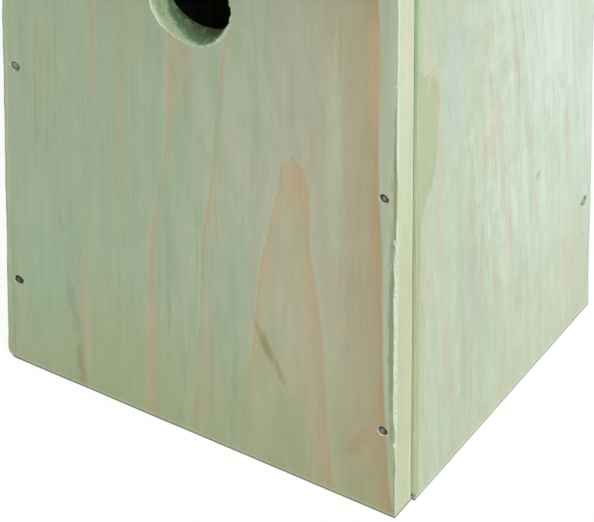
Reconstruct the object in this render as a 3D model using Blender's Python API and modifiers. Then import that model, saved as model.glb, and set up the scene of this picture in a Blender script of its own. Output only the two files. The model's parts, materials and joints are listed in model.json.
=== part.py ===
"""Nest box for small birds: planed treated boards, nailed, with a hinged sloping lid and a hook latch."""

import math

import bmesh
import bpy
from mathutils import Vector

MM = 0.001

# Boards
FRONT_WIDTH = 148 * MM
FRONT_HEIGHT = 262 * MM
FRONT_THICKNESS = 10 * MM
SIDE_THICKNESS = 10 * MM
SIDE_PROUD = 1.2 * MM
BOX_DEPTH = 121 * MM
BACK_THICKNESS = 10 * MM
BACK_RISE = 48 * MM
BACK_CORNER_RADIUS = 12 * MM
FLOOR_THICKNESS = 10 * MM
FLOOR_RECESS = 8 * MM
GROOVE_DEPTH = 4 * MM
ROOF_PITCH = math.radians(12)
ROOF_SIDE_OVERHANG = 14.8 * MM
ROOF_FRONT_OVERHANG = 28.8 * MM
ROOF_THICKNESS = 10 * MM
ARRIS = 0.8 * MM
SEAT_GAP = 0.3 * MM
LID_GAP = 0.8 * MM

# Entrance, climbing grooves, drain holes and hanging hole
ENTRANCE_RADIUS = 16 * MM
ENTRANCE_HEIGHT = 185 * MM
ENTRANCE_OFF_CENTRE = -3 * MM
KERF_COUNT = 5
KERF_LENGTH = 60 * MM
KERF_HEIGHT = 2 * MM
KERF_DEPTH = 1.5 * MM
KERF_PITCH = 12 * MM
KERF_START = 14 * MM
DRAIN_RADIUS = 4 * MM
DRAIN_INSET = 24 * MM
HANG_RADIUS = 4 * MM
HANG_DROP = 15 * MM

# Nails: heights are shares of the board's height, as driven by hand
NAIL_LENGTH = 28 * MM
NAIL_RADIUS = 0.9 * MM
NAIL_POINT = 3 * MM
NAIL_HEAD_RADIUS = 1.5 * MM
NAIL_HEAD_THICKNESS = 0.8 * MM
NAIL_SINK = 0.25 * MM
NAIL_GAP = 0.3 * MM
NAIL_OFF_CENTRE = 1 * MM
FRONT_NAIL_SHARES = {"left": (0.136, 0.492, 0.874), "right": (0.139, 0.525, 0.881)}
SIDE_NAIL_SHARES = (0.172, 0.525, 0.88)
FLOOR_NAIL_SHARE = 0.23

# Butt hinges
HINGE_LENGTH = 30 * MM
HINGE_PLACE_SHARE = 0.3
LEAF_WIDTH = 15 * MM
LEAF_THICKNESS = 1 * MM
KNUCKLE_RADIUS = 2.5 * MM
KNUCKLE_GAP = 0.3 * MM
PIN_RADIUS = 1.1 * MM
PIN_GAP = 0.1 * MM
PIN_HEAD_RADIUS = 1.7 * MM
PIN_HEAD_THICKNESS = 0.8 * MM
METAL_GAP = 0.15 * MM

# Countersunk screws of the hinges
SCREW_LENGTH = 8.5 * MM
SCREW_RADIUS = 1.1 * MM
SCREW_POINT = 2.5 * MM
SCREW_HEAD_RADIUS = 2.2 * MM
SCREW_HEAD_DEPTH = 0.8 * MM
SCREW_GAP = 0.2 * MM
SCREW_SPACING = 20 * MM
SCREW_REACH = 9.5 * MM

# Hook latch: a wire hook linked in one screw eye and caught by another
LATCH_DEPTH = 62 * MM
HOOK_REACH = 36 * MM
HOOK_WIRE_RADIUS = 0.9 * MM
HOOK_LOOP_GAP = 0.35 * MM
HOOK_TIP_PAST_RING = 2.1 * MM
HOOK_BEND = 2.2 * MM
EYE_WIRE_RADIUS = 1 * MM
EYE_SHANK = 8 * MM
EYE_BEND = 1.3 * MM
EYE_STAND = 0.5 * MM
EYE_END_GAP = 0.3 * MM
PIVOT_RING_RADIUS = 3.2 * MM
CATCH_RING_RADIUS = 4.5 * MM
CATCH_PLACE_SHARE = 0.304
SHANK_POINT = 2.5 * MM
SHANK_TIP_SHARE = 0.2

# Facets, and how far every cutter runs past what it cuts
ROUND_SIDES = 16
KNUCKLE_SIDES = 24
ENTRANCE_SIDES = 48
HOLE_SIDES = 24
NAIL_SIDES = 10
CORNER_STEPS = 8
ARRIS_STEPS = 2
WIRE_RESOLUTION = 3
RING_STEPS = 18
RING_START = math.radians(30)
BEND_STEPS = 4
SMOOTH_ANGLE = math.radians(30)
CUT_OVER = 2 * MM
MERGE_DISTANCE = 0.01 * MM

# Sizes worked out from the ones above
BOX_HALF_WIDTH = FRONT_WIDTH / 2 + SIDE_PROUD
INNER_HALF_WIDTH = BOX_HALF_WIDTH - SIDE_THICKNESS
BACK_FACE_DEPTH = BOX_DEPTH - BACK_THICKNESS
HINGE_STAND = KNUCKLE_RADIUS + METAL_GAP
AXIS_DEPTH = BACK_FACE_DEPTH - HINGE_STAND
LID_REAR = HINGE_STAND - LID_GAP
FRONT_FACE_Y = (ROOF_FRONT_OVERHANG - BOX_DEPTH) / 2
LOOP_RADIUS = EYE_WIRE_RADIUS + HOOK_LOOP_GAP + HOOK_WIRE_RADIUS
PIVOT_RING_ACROSS = BOX_HALF_WIDTH + EYE_STAND + EYE_BEND + PIVOT_RING_RADIUS
HOOK_ACROSS = PIVOT_RING_ACROSS + PIVOT_RING_RADIUS
CATCH_ACROSS = BOX_HALF_WIDTH + CATCH_PLACE_SHARE * ROOF_SIDE_OVERHANG
HOOK_TIP = HOOK_ACROSS - CATCH_ACROSS + HOOK_TIP_PAST_RING
UP = Vector((0, 0, 1))
REARWARD = Vector((0, 1, 0))
SIDEWAYS = Vector((1, 0, 0))


def roof_line(depth):
    """Height of the sloping top edge of the boards at a depth behind the front face."""
    return FRONT_HEIGHT + depth * math.tan(ROOF_PITCH)


AXIS_HEIGHT = roof_line(AXIS_DEPTH) + (SEAT_GAP + ROOF_THICKNESS + HINGE_STAND) / math.cos(ROOF_PITCH)
LID_TOP_AT_BACK = roof_line(BACK_FACE_DEPTH) + (SEAT_GAP + ROOF_THICKNESS) / math.cos(ROOF_PITCH)
BACK_HEIGHT = LID_TOP_AT_BACK + BACK_RISE
LID_UNDER = HINGE_STAND + ROOF_THICKNESS


def along_slope(behind_axis, height):
    """Place up the slope, in the lid's frame, of a point so far behind its axis and so high there."""
    return (behind_axis + height * math.sin(ROOF_PITCH)) / math.cos(ROOF_PITCH)


def at(across, depth, height):
    """A point given by its place across, its depth behind the front face and its height."""
    return Vector((across, FRONT_FACE_Y + depth, height))


def clear_scene():
    """Empties the scene and makes the collections for the object and its cutters."""
    for obj in list(bpy.data.objects):
        bpy.data.objects.remove(obj)
    groups = {}
    for name in ("nest_box", "cutters"):
        groups[name] = bpy.data.collections.new(name)
        bpy.context.scene.collection.children.link(groups[name])
    return groups


def finish(name, colour, roughness, metallic):
    """A plain surface: colour, roughness and metallic value."""
    material = bpy.data.materials.new(name)
    material.use_nodes = True
    surface = material.node_tree.nodes["Principled BSDF"]
    surface.inputs["Base Color"].default_value = (*colour, 1)
    surface.inputs["Roughness"].default_value = roughness
    surface.inputs["Metallic"].default_value = metallic
    return material


GROUPS = clear_scene()
TREATED_WOOD = finish("treated_wood", (0.46, 0.54, 0.39), 0.75, 0)
TREATED_WOOD_PALE = finish("treated_wood_pale", (0.57, 0.63, 0.49), 0.75, 0)
ZINC = finish("zinc_plated_steel", (0.62, 0.62, 0.6), 0.35, 1)
NAIL_STEEL = finish("dull_nail_steel", (0.3, 0.3, 0.31), 0.5, 1)


def place(obj, material=None, parent=None):
    """Puts an object in its collection. One with no material is a cutter, drawn as wire."""
    GROUPS["nest_box" if material else "cutters"].objects.link(obj)
    if material:
        obj.data.materials.append(material)
    else:
        obj.hide_render = True
        obj.display_type = "WIRE"
    obj.parent = parent
    return obj


def object_from(shape, name):
    """Makes an object of a bmesh, with its faces pointing outwards."""
    bmesh.ops.recalc_face_normals(shape, faces=shape.faces)
    mesh = bpy.data.meshes.new(name)
    shape.to_mesh(mesh)
    shape.free()
    return bpy.data.objects.new(name, mesh)


def block(name, first, second, material=None, parent=None, trim=None, rounding=0):
    """A box between two opposite corners.

    trim is a plane, (point, outward normal), that cuts it. rounding is a radius for its two upper corners
    as seen from the front.
    """
    low, high = (Vector(map(pick, first, second)) for pick in (min, max))
    centre = (low + high) / 2
    shape = bmesh.new()
    bmesh.ops.create_cube(shape, size=1)
    bmesh.ops.scale(shape, vec=high - low, verts=shape.verts)
    if trim:
        everything = shape.verts[:] + shape.edges[:] + shape.faces[:]
        cut = bmesh.ops.bisect_plane(
            shape, geom=everything, plane_co=trim[0] - centre, plane_no=trim[1], clear_outer=True
        )
        rim = [piece for piece in cut["geom_cut"] if isinstance(piece, bmesh.types.BMEdge)]
        bmesh.ops.edgeloop_fill(shape, edges=rim)
    if rounding:
        corners = [edge for edge in shape.edges if is_upper_corner(edge)]
        bmesh.ops.bevel(
            shape, geom=corners, offset=rounding, segments=CORNER_STEPS, profile=0.5, affect="EDGES"
        )
    obj = object_from(shape, name)
    obj.location = centre
    return place(obj, material, parent)


def is_upper_corner(edge):
    """Whether an edge of a centred box runs from front to back along its top."""
    ends = [vert.co for vert in edge.verts]
    return min(end.z for end in ends) > 0 and ends[0].y * ends[1].y < 0


def ease_edges(obj):
    """Takes the sharp arrises off a board."""
    bevel = obj.modifiers.new("eased_edges", "BEVEL")
    bevel.width = ARRIS
    bevel.segments = ARRIS_STEPS
    bevel.limit_method = "ANGLE"


def rod(name, radius, length, middle, direction, sides=ROUND_SIDES, parent=None):
    """A round cutter or joiner of a given length, centred on a point."""
    shape = bmesh.new()
    bmesh.ops.create_cone(
        shape, cap_ends=True, segments=sides, radius1=radius, radius2=radius, depth=length
    )
    obj = object_from(shape, name)
    obj.data.shade_smooth()
    obj.data.set_sharp_from_angle(angle=SMOOTH_ANGLE)
    obj.rotation_euler = UP.rotation_difference(direction).to_euler()
    obj.location = middle
    return place(obj, parent=parent)


def turned(name, profile, foot, direction, sides, material=None, parent=None):
    """A turned piece. profile lists (radius, height) from top to bottom; its axis is the direction."""
    mesh = bpy.data.meshes.new(name)
    points = [(radius, 0, height) for radius, height in profile]
    mesh.from_pydata(points, [(i, i + 1) for i in range(len(points) - 1)], [])
    obj = bpy.data.objects.new(name, mesh)
    screw = obj.modifiers.new("turn", "SCREW")
    screw.steps = sides
    screw.render_steps = sides
    screw.use_merge_vertices = True
    screw.merge_threshold = MERGE_DISTANCE
    obj.rotation_euler = UP.rotation_difference(direction).to_euler()
    obj.location = foot
    return place(obj, material, parent)


def wire(name, points, radius, parent=None, tip_share=1):
    """Bent round wire along points. Its first point has a share of the radius, for a pointed end."""
    curve = bpy.data.curves.new(name, "CURVE")
    curve.dimensions = "3D"
    curve.bevel_depth = radius
    curve.bevel_resolution = WIRE_RESOLUTION
    curve.use_fill_caps = True
    spline = curve.splines.new("POLY")
    spline.points.add(len(points) - 1)
    for target, point in zip(spline.points, points):
        target.co = (*point, 1)
    spline.points[0].radius = tip_share
    return place(bpy.data.objects.new(name, curve), ZINC, parent)


def combine(obj, others, operation="DIFFERENCE"):
    """Cuts the others from an object, or joins them to it, in order."""
    for other in others:
        step = obj.modifiers.new(other.name, "BOOLEAN")
        step.operation = operation
        step.object = other


def fastener_profile(length, radius, point, head_radius, head_rim, head_taper, gap=0):
    """Profile of a nail or countersunk screw from its head's top, grown by a gap for its hole."""
    top = gap + CUT_OVER if gap else 0
    return [
        (0, top),
        (head_radius + gap, top),
        (head_radius + gap, -head_rim),
        (radius + gap, -head_rim - head_taper - gap),
        (radius + gap, point - length),
        (0, -length - gap),
    ]


def fasten(name, head, direction, boards, sizes, gap, material, parent=None):
    """Drives a fastener: its head is at a point and its hole goes through every board named."""
    sides = NAIL_SIDES if material is NAIL_STEEL else ROUND_SIDES
    turned(name, fastener_profile(**sizes), head, -direction, sides, material, parent)
    hole = turned(name + "_hole", fastener_profile(**sizes, gap=gap), head, -direction, sides, None, parent)
    for board in boards:
        combine(board, [hole])


NAIL_SIZES = {
    "length": NAIL_LENGTH,
    "radius": NAIL_RADIUS,
    "point": NAIL_POINT,
    "head_radius": NAIL_HEAD_RADIUS,
    "head_rim": NAIL_HEAD_THICKNESS,
    "head_taper": 0,
}
SCREW_SIZES = {
    "length": SCREW_LENGTH,
    "radius": SCREW_RADIUS,
    "point": SCREW_POINT,
    "head_radius": SCREW_HEAD_RADIUS,
    "head_rim": 0,
    "head_taper": SCREW_HEAD_DEPTH,
}


def nail(name, surface_point, direction, boards):
    """A nail whose head lies just under the surface."""
    head = surface_point + direction * NAIL_SINK
    fasten(name, head, direction, boards, NAIL_SIZES, NAIL_GAP, NAIL_STEEL)


def roof_plane():
    """The plane that the boards' top edges lie in: a point on it and its upward normal."""
    normal = Vector((0, -math.sin(ROOF_PITCH), math.cos(ROOF_PITCH)))
    return at(0, 0, FRONT_HEIGHT), normal


def make_front():
    """Front board with the entrance hole, and climbing grooves on its inner face."""
    top = roof_line(FRONT_THICKNESS) + CUT_OVER
    half = FRONT_WIDTH / 2
    front = block(
        "front_panel", at(-half, 0, 0), at(half, FRONT_THICKNESS, top), TREATED_WOOD, trim=roof_plane()
    )
    ease_edges(front)
    entrance = rod(
        "entrance_cutter",
        ENTRANCE_RADIUS,
        FRONT_THICKNESS + 2 * CUT_OVER,
        at(ENTRANCE_OFF_CENTRE, FRONT_THICKNESS / 2, ENTRANCE_HEIGHT),
        REARWARD,
        ENTRANCE_SIDES,
    )
    combine(front, [entrance])
    for row in range(KERF_COUNT):
        height = ENTRANCE_HEIGHT - ENTRANCE_RADIUS - KERF_START - row * KERF_PITCH
        start = at(ENTRANCE_OFF_CENTRE - KERF_LENGTH / 2, FRONT_THICKNESS - KERF_DEPTH, height - KERF_HEIGHT)
        end = at(ENTRANCE_OFF_CENTRE + KERF_LENGTH / 2, FRONT_THICKNESS + CUT_OVER, height)
        combine(front, [block(f"kerf_cutter_{row + 1}", start, end)])
    return front


def make_side(name, hand):
    """Side board with its sloping top and the stopped groove that holds the floor."""
    side = block(
        name,
        at(hand * INNER_HALF_WIDTH, FRONT_THICKNESS + SEAT_GAP, 0),
        at(hand * BOX_HALF_WIDTH, BOX_DEPTH, roof_line(BOX_DEPTH) + CUT_OVER),
        TREATED_WOOD_PALE,
        trim=roof_plane(),
    )
    ease_edges(side)
    shallow = hand * (INNER_HALF_WIDTH - CUT_OVER)
    deep = hand * (INNER_HALF_WIDTH + GROOVE_DEPTH)
    start = at(shallow, FRONT_THICKNESS - CUT_OVER, FLOOR_RECESS - SEAT_GAP)
    end = at(deep, BACK_FACE_DEPTH, FLOOR_RECESS + FLOOR_THICKNESS + SEAT_GAP)
    combine(side, [block(name + "_groove_cutter", start, end)])
    return side


def make_back():
    """Back board between the sides. It stands above the lid, with rounded corners and a hanging hole."""
    half = INNER_HALF_WIDTH - SEAT_GAP
    back = block(
        "back_panel",
        at(-half, BACK_FACE_DEPTH, 0),
        at(half, BOX_DEPTH, BACK_HEIGHT),
        TREATED_WOOD,
        rounding=BACK_CORNER_RADIUS,
    )
    ease_edges(back)
    hanging = rod(
        "hanging_cutter",
        HANG_RADIUS,
        BACK_THICKNESS + 2 * CUT_OVER,
        at(0, BACK_FACE_DEPTH + BACK_THICKNESS / 2, BACK_HEIGHT - HANG_DROP),
        REARWARD,
        HOLE_SIDES,
    )
    combine(back, [hanging])
    return back


def make_floor():
    """Floor board held in the grooves of the sides, with four drain holes."""
    half = INNER_HALF_WIDTH + GROOVE_DEPTH - SEAT_GAP
    near = FRONT_THICKNESS + SEAT_GAP
    far = BACK_FACE_DEPTH - SEAT_GAP
    middle = FLOOR_RECESS + FLOOR_THICKNESS / 2
    top = FLOOR_RECESS + FLOOR_THICKNESS
    floor = block("floor_panel", at(-half, near, FLOOR_RECESS), at(half, far, top), TREATED_WOOD)
    length = FLOOR_THICKNESS + 2 * CUT_OVER
    for across in (DRAIN_INSET - INNER_HALF_WIDTH, INNER_HALF_WIDTH - DRAIN_INSET):
        for depth in (FRONT_THICKNESS + DRAIN_INSET, BACK_FACE_DEPTH - DRAIN_INSET):
            centre = at(across, depth, middle)
            combine(floor, [rod("drain_cutter", DRAIN_RADIUS, length, centre, UP, HOLE_SIDES)])
    return floor


def make_lid_pivot():
    """The empty on the hinge axis that carries the lid, tilted so that its Y runs up the slope."""
    pivot = bpy.data.objects.new("lid_pivot", None)
    GROUPS["nest_box"].objects.link(pivot)
    pivot.location = at(0, AXIS_DEPTH, AXIS_HEIGHT)
    pivot.rotation_euler = (ROOF_PITCH, 0, 0)
    return pivot


def make_roof(pivot):
    """Lid board in the pivot's frame: square front edge, and a plumb rear edge beside the back board."""
    plumb = Vector((0, math.cos(ROOF_PITCH), -math.sin(ROOF_PITCH)))
    half = BOX_HALF_WIDTH + ROOF_SIDE_OVERHANG
    rear = Vector((0, along_slope(LID_REAR, -HINGE_STAND), -HINGE_STAND))
    front = along_slope(-AXIS_DEPTH - ROOF_FRONT_OVERHANG, -HINGE_STAND)
    front_corner = Vector((-half, front, -LID_UNDER))
    rear_corner = rear + Vector((half, CUT_OVER, 0))
    roof = block("roof_lid", front_corner, rear_corner, TREATED_WOOD_PALE, pivot, trim=(rear, plumb))
    ease_edges(roof)
    return roof


def knuckle_spans(middle):
    """The stretches across the hinge that the middle knuckle, or the two outer ones, take up."""
    third = HINGE_LENGTH / 3
    half_gap = KNUCKLE_GAP / 2
    if middle:
        return [(-third / 2 + half_gap, third / 2 - half_gap)]
    return [
        (-HINGE_LENGTH / 2, -third / 2 - half_gap),
        (third / 2 + half_gap, HINGE_LENGTH / 2),
    ]


def make_leaf(name, along, towards_wood, middle, start, parent):
    """A hinge leaf: plate, rolled knuckles and pin bore. start is the middle of its barrel."""
    half = SIDEWAYS * HINGE_LENGTH / 2
    face = towards_wood * KNUCKLE_RADIUS
    far_corner = start + half + along * LEAF_WIDTH + face - towards_wood * LEAF_THICKNESS
    leaf = block(name, start - half + face, far_corner, ZINC, parent)
    clear = along * (KNUCKLE_RADIUS + KNUCKLE_GAP)
    deep = towards_wood * (KNUCKLE_RADIUS + CUT_OVER)
    for left, right in knuckle_spans(not middle):
        near = start + SIDEWAYS * (left - KNUCKLE_GAP) - along * CUT_OVER
        far = start + SIDEWAYS * (right + KNUCKLE_GAP) + clear + deep
        combine(leaf, [block(name + "_notch_cutter", near, far, None, parent)])
    for left, right in knuckle_spans(middle):
        centre = start + SIDEWAYS * (left + right) / 2
        sides = KNUCKLE_SIDES
        barrel = rod(name + "_barrel", KNUCKLE_RADIUS, right - left, centre, SIDEWAYS, sides, parent)
        combine(leaf, [barrel], "UNION")
    length = HINGE_LENGTH + 2 * CUT_OVER
    combine(leaf, [rod(name + "_bore_cutter", PIN_RADIUS + PIN_GAP, length, start, SIDEWAYS, parent=parent)])
    return leaf


def make_pin(name, across):
    """Hinge pin with a head at each end."""
    head_reach = HINGE_LENGTH / 2 + KNUCKLE_GAP
    end = head_reach + PIN_HEAD_THICKNESS
    profile = [
        (0, end),
        (PIN_HEAD_RADIUS, end),
        (PIN_HEAD_RADIUS, head_reach),
        (PIN_RADIUS, head_reach),
        (PIN_RADIUS, -head_reach),
        (PIN_HEAD_RADIUS, -head_reach),
        (PIN_HEAD_RADIUS, -end),
        (0, -end),
    ]
    turned(name, profile, at(across, AXIS_DEPTH, AXIS_HEIGHT), SIDEWAYS, ROUND_SIDES, ZINC)


def make_hinge(hand, word, back, roof, pivot):
    """A butt hinge: one leaf on the back board, one on the lid, the pin and four screws."""
    across = hand * HINGE_PLACE_SHARE * 2 * INNER_HALF_WIDTH
    axis = at(0, AXIS_DEPTH, AXIS_HEIGHT)
    shift = SIDEWAYS * across
    fixed = make_leaf(f"{word}_hinge_fixed_leaf", UP, REARWARD, False, axis + shift, None)
    moving = make_leaf(f"{word}_hinge_lid_leaf", -REARWARD, -UP, True, shift, pivot)
    make_pin(f"{word}_hinge_pin", across)
    surface = KNUCKLE_RADIUS - LEAF_THICKNESS
    for number, place_across in enumerate((across - SCREW_SPACING / 2, across + SCREW_SPACING / 2), 1):
        head = axis + Vector((place_across, surface, SCREW_REACH))
        name = f"{word}_hinge_fixed_screw_{number}"
        fasten(name, head, REARWARD, [fixed, back], SCREW_SIZES, SCREW_GAP, ZINC)
        head = Vector((place_across, -SCREW_REACH, -surface))
        name = f"{word}_hinge_lid_screw_{number}"
        fasten(name, head, -UP, [moving, roof], SCREW_SIZES, SCREW_GAP, ZINC, pivot)


def eye_path(ring_radius, wire_radius, shank, bend):
    """Wire from a pointed shank into an open ring about zero, with the shank pointing down."""
    foot = -ring_radius - bend
    points = [Vector((0, foot - shank)), Vector((0, foot - shank + SHANK_POINT)), Vector((0, foot))]
    for turn in (RING_START, 2 * RING_START):
        points.append(Vector((bend * (1 - math.cos(turn)), foot + bend * math.sin(turn))))
    opening = 2 * math.asin((wire_radius + EYE_END_GAP / 2) / ring_radius)
    sweep = 2 * math.pi - opening - RING_START
    for step in range(RING_STEPS + 1):
        turn = RING_START + sweep * step / RING_STEPS
        points.append(Vector((ring_radius * math.sin(turn), -ring_radius * math.cos(turn))))
    return points


def shank_hole(name, surface_point, direction, board, parent=None):
    """Hole for the shank of a screw eye."""
    depth = EYE_SHANK + SEAT_GAP
    start = surface_point - direction * CUT_OVER
    middle = start + direction * (depth + CUT_OVER) / 2
    length = depth + CUT_OVER
    combine(board, [rod(name, EYE_WIRE_RADIUS + SEAT_GAP, length, middle, direction, parent=parent)])


def make_latch(right_side, roof, pivot):
    """Hook on the right side board, hanging free, and the screw eye under the lid that it catches."""
    slope = math.cos(ROOF_PITCH)
    catch_y = (LATCH_DEPTH - AXIS_DEPTH) / slope
    ring_drop = LID_UNDER + EYE_BEND + CATCH_RING_RADIUS + EYE_STAND
    path = eye_path(CATCH_RING_RADIUS, EYE_WIRE_RADIUS, EYE_SHANK + EYE_STAND, EYE_BEND)
    points = [(CATCH_ACROSS, catch_y + u, -ring_drop - v) for u, v in path]
    wire("catch_eye", points, EYE_WIRE_RADIUS, pivot, SHANK_TIP_SHARE)
    shank_hole("catch_hole_cutter", Vector((CATCH_ACROSS, catch_y, -LID_UNDER)), UP, roof, pivot)

    ring_y = catch_y * slope + ring_drop * math.sin(ROOF_PITCH)
    ring_z = catch_y * math.sin(ROOF_PITCH) - ring_drop * slope
    hook_height = AXIS_HEIGHT + ring_z - HOOK_REACH
    hook_depth = AXIS_DEPTH + ring_y
    path = eye_path(PIVOT_RING_RADIUS, EYE_WIRE_RADIUS, EYE_SHANK + EYE_STAND, EYE_BEND)
    centre = at(PIVOT_RING_ACROSS, hook_depth, hook_height)
    points = [centre + Vector((v, u, 0)) for u, v in path]
    wire("hook_eye", points, EYE_WIRE_RADIUS, None, SHANK_TIP_SHARE)
    shank_hole("hook_hole_cutter", at(BOX_HALF_WIDTH, hook_depth, hook_height), -SIDEWAYS, right_side)

    hook = wire("latch_hook", hook_points(), HOOK_WIRE_RADIUS)
    hook.location = at(HOOK_ACROSS, hook_depth, hook_height)


def hook_points():
    """The hook as it hangs: tip outwards, bend, straight rod and the loop about its origin."""
    points = [Vector((HOOK_TIP, 0, -HOOK_REACH))]
    for step in range(BEND_STEPS + 1):
        turn = math.pi / 2 * step / BEND_STEPS
        across = HOOK_BEND * (1 - math.sin(turn))
        points.append(Vector((across, 0, -HOOK_REACH + HOOK_BEND * (1 - math.cos(turn)))))
    bend = HOOK_WIRE_RADIUS + METAL_GAP
    straight = HOOK_REACH - HOOK_BEND - LOOP_RADIUS - bend
    loop = eye_path(LOOP_RADIUS, HOOK_WIRE_RADIUS, straight, bend)
    points += [Vector((u, 0, v)) for u, v in loop[2:]]
    return points


def drive_nails(front, sides, back, floor):
    """Nails through the front into the sides, through the sides into the back, and into the floor."""
    across = BOX_HALF_WIDTH - SIDE_THICKNESS / 2 - NAIL_OFF_CENTRE
    rear_height = roof_line(BOX_DEPTH)
    middle_of_back = BOX_DEPTH - BACK_THICKNESS / 2
    for word, hand in (("left", -1), ("right", 1)):
        for number, share in enumerate(FRONT_NAIL_SHARES[word], 1):
            point = at(hand * across, 0, share * FRONT_HEIGHT)
            nail(f"front_nail_{word}_{number}", point, REARWARD, [front, sides[word]])
        for number, share in enumerate(SIDE_NAIL_SHARES, 1):
            point = at(hand * BOX_HALF_WIDTH, middle_of_back, share * rear_height)
            nail(f"side_nail_{word}_{number}", point, -hand * SIDEWAYS, [sides[word], back])
        height = FLOOR_RECESS + FLOOR_THICKNESS / 2
        point = at(hand * FLOOR_NAIL_SHARE * 2 * INNER_HALF_WIDTH, BOX_DEPTH, height)
        nail(f"floor_nail_{word}", point, -REARWARD, [back, floor])


def main():
    """Builds the nest box, board by board, then its hardware."""
    front = make_front()
    sides = {"left": make_side("left_side_panel", -1), "right": make_side("right_side_panel", 1)}
    back = make_back()
    floor = make_floor()
    pivot = make_lid_pivot()
    roof = make_roof(pivot)
    for word, hand in (("left", -1), ("right", 1)):
        make_hinge(hand, word, back, roof, pivot)
    drive_nails(front, sides, back, floor)
    make_latch(sides["right"], roof, pivot)
    print(
        f"hinge axis y {FRONT_FACE_Y + AXIS_DEPTH:.6f} z {AXIS_HEIGHT:.6f},"
        f" front face y {FRONT_FACE_Y:.6f}, back height {BACK_HEIGHT:.6f}"
    )


main()
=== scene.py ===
"""Nest box of green pressure-treated pine, dressed over its CAD frame.

Boards, nails, hinges and hook latch are remodelled with the marks of saw, drill and hammer, and every finish
is procedural. Lengths are in metres, or in board millimetres inside the finishes.
"""

import json
import logging
import math
from contextlib import contextmanager
from dataclasses import dataclass, replace
from enum import Enum
from functools import partial
from typing import Callable, Iterator

import bmesh
import bpy
from mathutils import Euler, Matrix, Vector, noise

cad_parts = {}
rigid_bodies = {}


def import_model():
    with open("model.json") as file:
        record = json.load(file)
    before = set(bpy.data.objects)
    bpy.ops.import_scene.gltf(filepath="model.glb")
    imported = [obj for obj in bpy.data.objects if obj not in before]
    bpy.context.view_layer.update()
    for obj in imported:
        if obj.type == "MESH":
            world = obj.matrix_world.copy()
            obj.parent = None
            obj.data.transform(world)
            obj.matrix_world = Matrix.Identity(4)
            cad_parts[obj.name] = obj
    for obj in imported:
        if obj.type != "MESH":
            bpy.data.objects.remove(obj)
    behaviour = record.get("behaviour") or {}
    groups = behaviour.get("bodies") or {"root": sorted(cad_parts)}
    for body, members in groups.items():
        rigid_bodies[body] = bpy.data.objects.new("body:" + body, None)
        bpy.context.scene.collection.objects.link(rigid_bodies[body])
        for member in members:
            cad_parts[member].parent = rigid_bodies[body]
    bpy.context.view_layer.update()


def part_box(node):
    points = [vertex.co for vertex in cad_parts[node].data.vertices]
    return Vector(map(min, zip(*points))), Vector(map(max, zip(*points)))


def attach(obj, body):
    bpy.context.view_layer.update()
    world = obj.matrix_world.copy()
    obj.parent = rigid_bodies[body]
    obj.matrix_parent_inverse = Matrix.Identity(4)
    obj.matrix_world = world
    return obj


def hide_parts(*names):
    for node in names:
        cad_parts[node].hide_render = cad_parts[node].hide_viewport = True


LOG = logging.getLogger("nest_box")

MM = 0.001
X_AXIS = Vector((1, 0, 0))
Y_AXIS = Vector((0, 1, 0))
Z_AXIS = Vector((0, 0, 1))
ROOF_PITCH = math.radians(12)
SLOPE_NORMAL = Vector((0, -math.sin(ROOF_PITCH), math.cos(ROOF_PITCH)))
FRONT_FACE = -46.1 * MM
REAR_FACE = 74.9 * MM
ENTRANCE = Vector((-3 * MM, FRONT_FACE, 185 * MM))
LID_AXIS = Vector((0, 62.25 * MM, 298.27 * MM))
SMOOTH_ANGLE = math.radians(32)
CUT_THRESHOLD = 0.001 * MM
FACES_DOWN = -0.9
FACES_UP = 0.99
AT_ZERO = -0.01 * MM
WEAR = "wear"
MIDDLE = 0.5
PER_METRE = (1 / MM, 1 / MM, 1 / MM)

Piece = bpy.types.Object
Material = bpy.types.Material
Edge = bmesh.types.BMEdge
Socket = bpy.types.NodeSocket
Sockets = bpy.types.bpy_prop_collection
Colour = tuple[float, float, float, float]
Value = float | int | tuple | Vector | Socket
Results = tuple[Value, ...]
Points = tuple[tuple[float, float], ...]
Test = Callable[[object], bool]


def seen(red: float, green: float, blue: float, level: float = 1.0) -> Colour:
    """A base colour from its look on a screen.

    Args:
        red, green, blue: screen values, 0 to 255.
        level: light level on the surface that shows it, which the base colour is divided by.

    Returns:
        The linear colour with full alpha.
    """
    channels = []
    for value in (red, green, blue):
        share = value / 255
        linear = share / 12.92 if share <= 0.04045 else ((share + 0.055) / 1.055) ** 2.4
        channels.append(min(linear / level, 1.0))
    return (*channels, 1.0)


# Shader wiring


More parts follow.
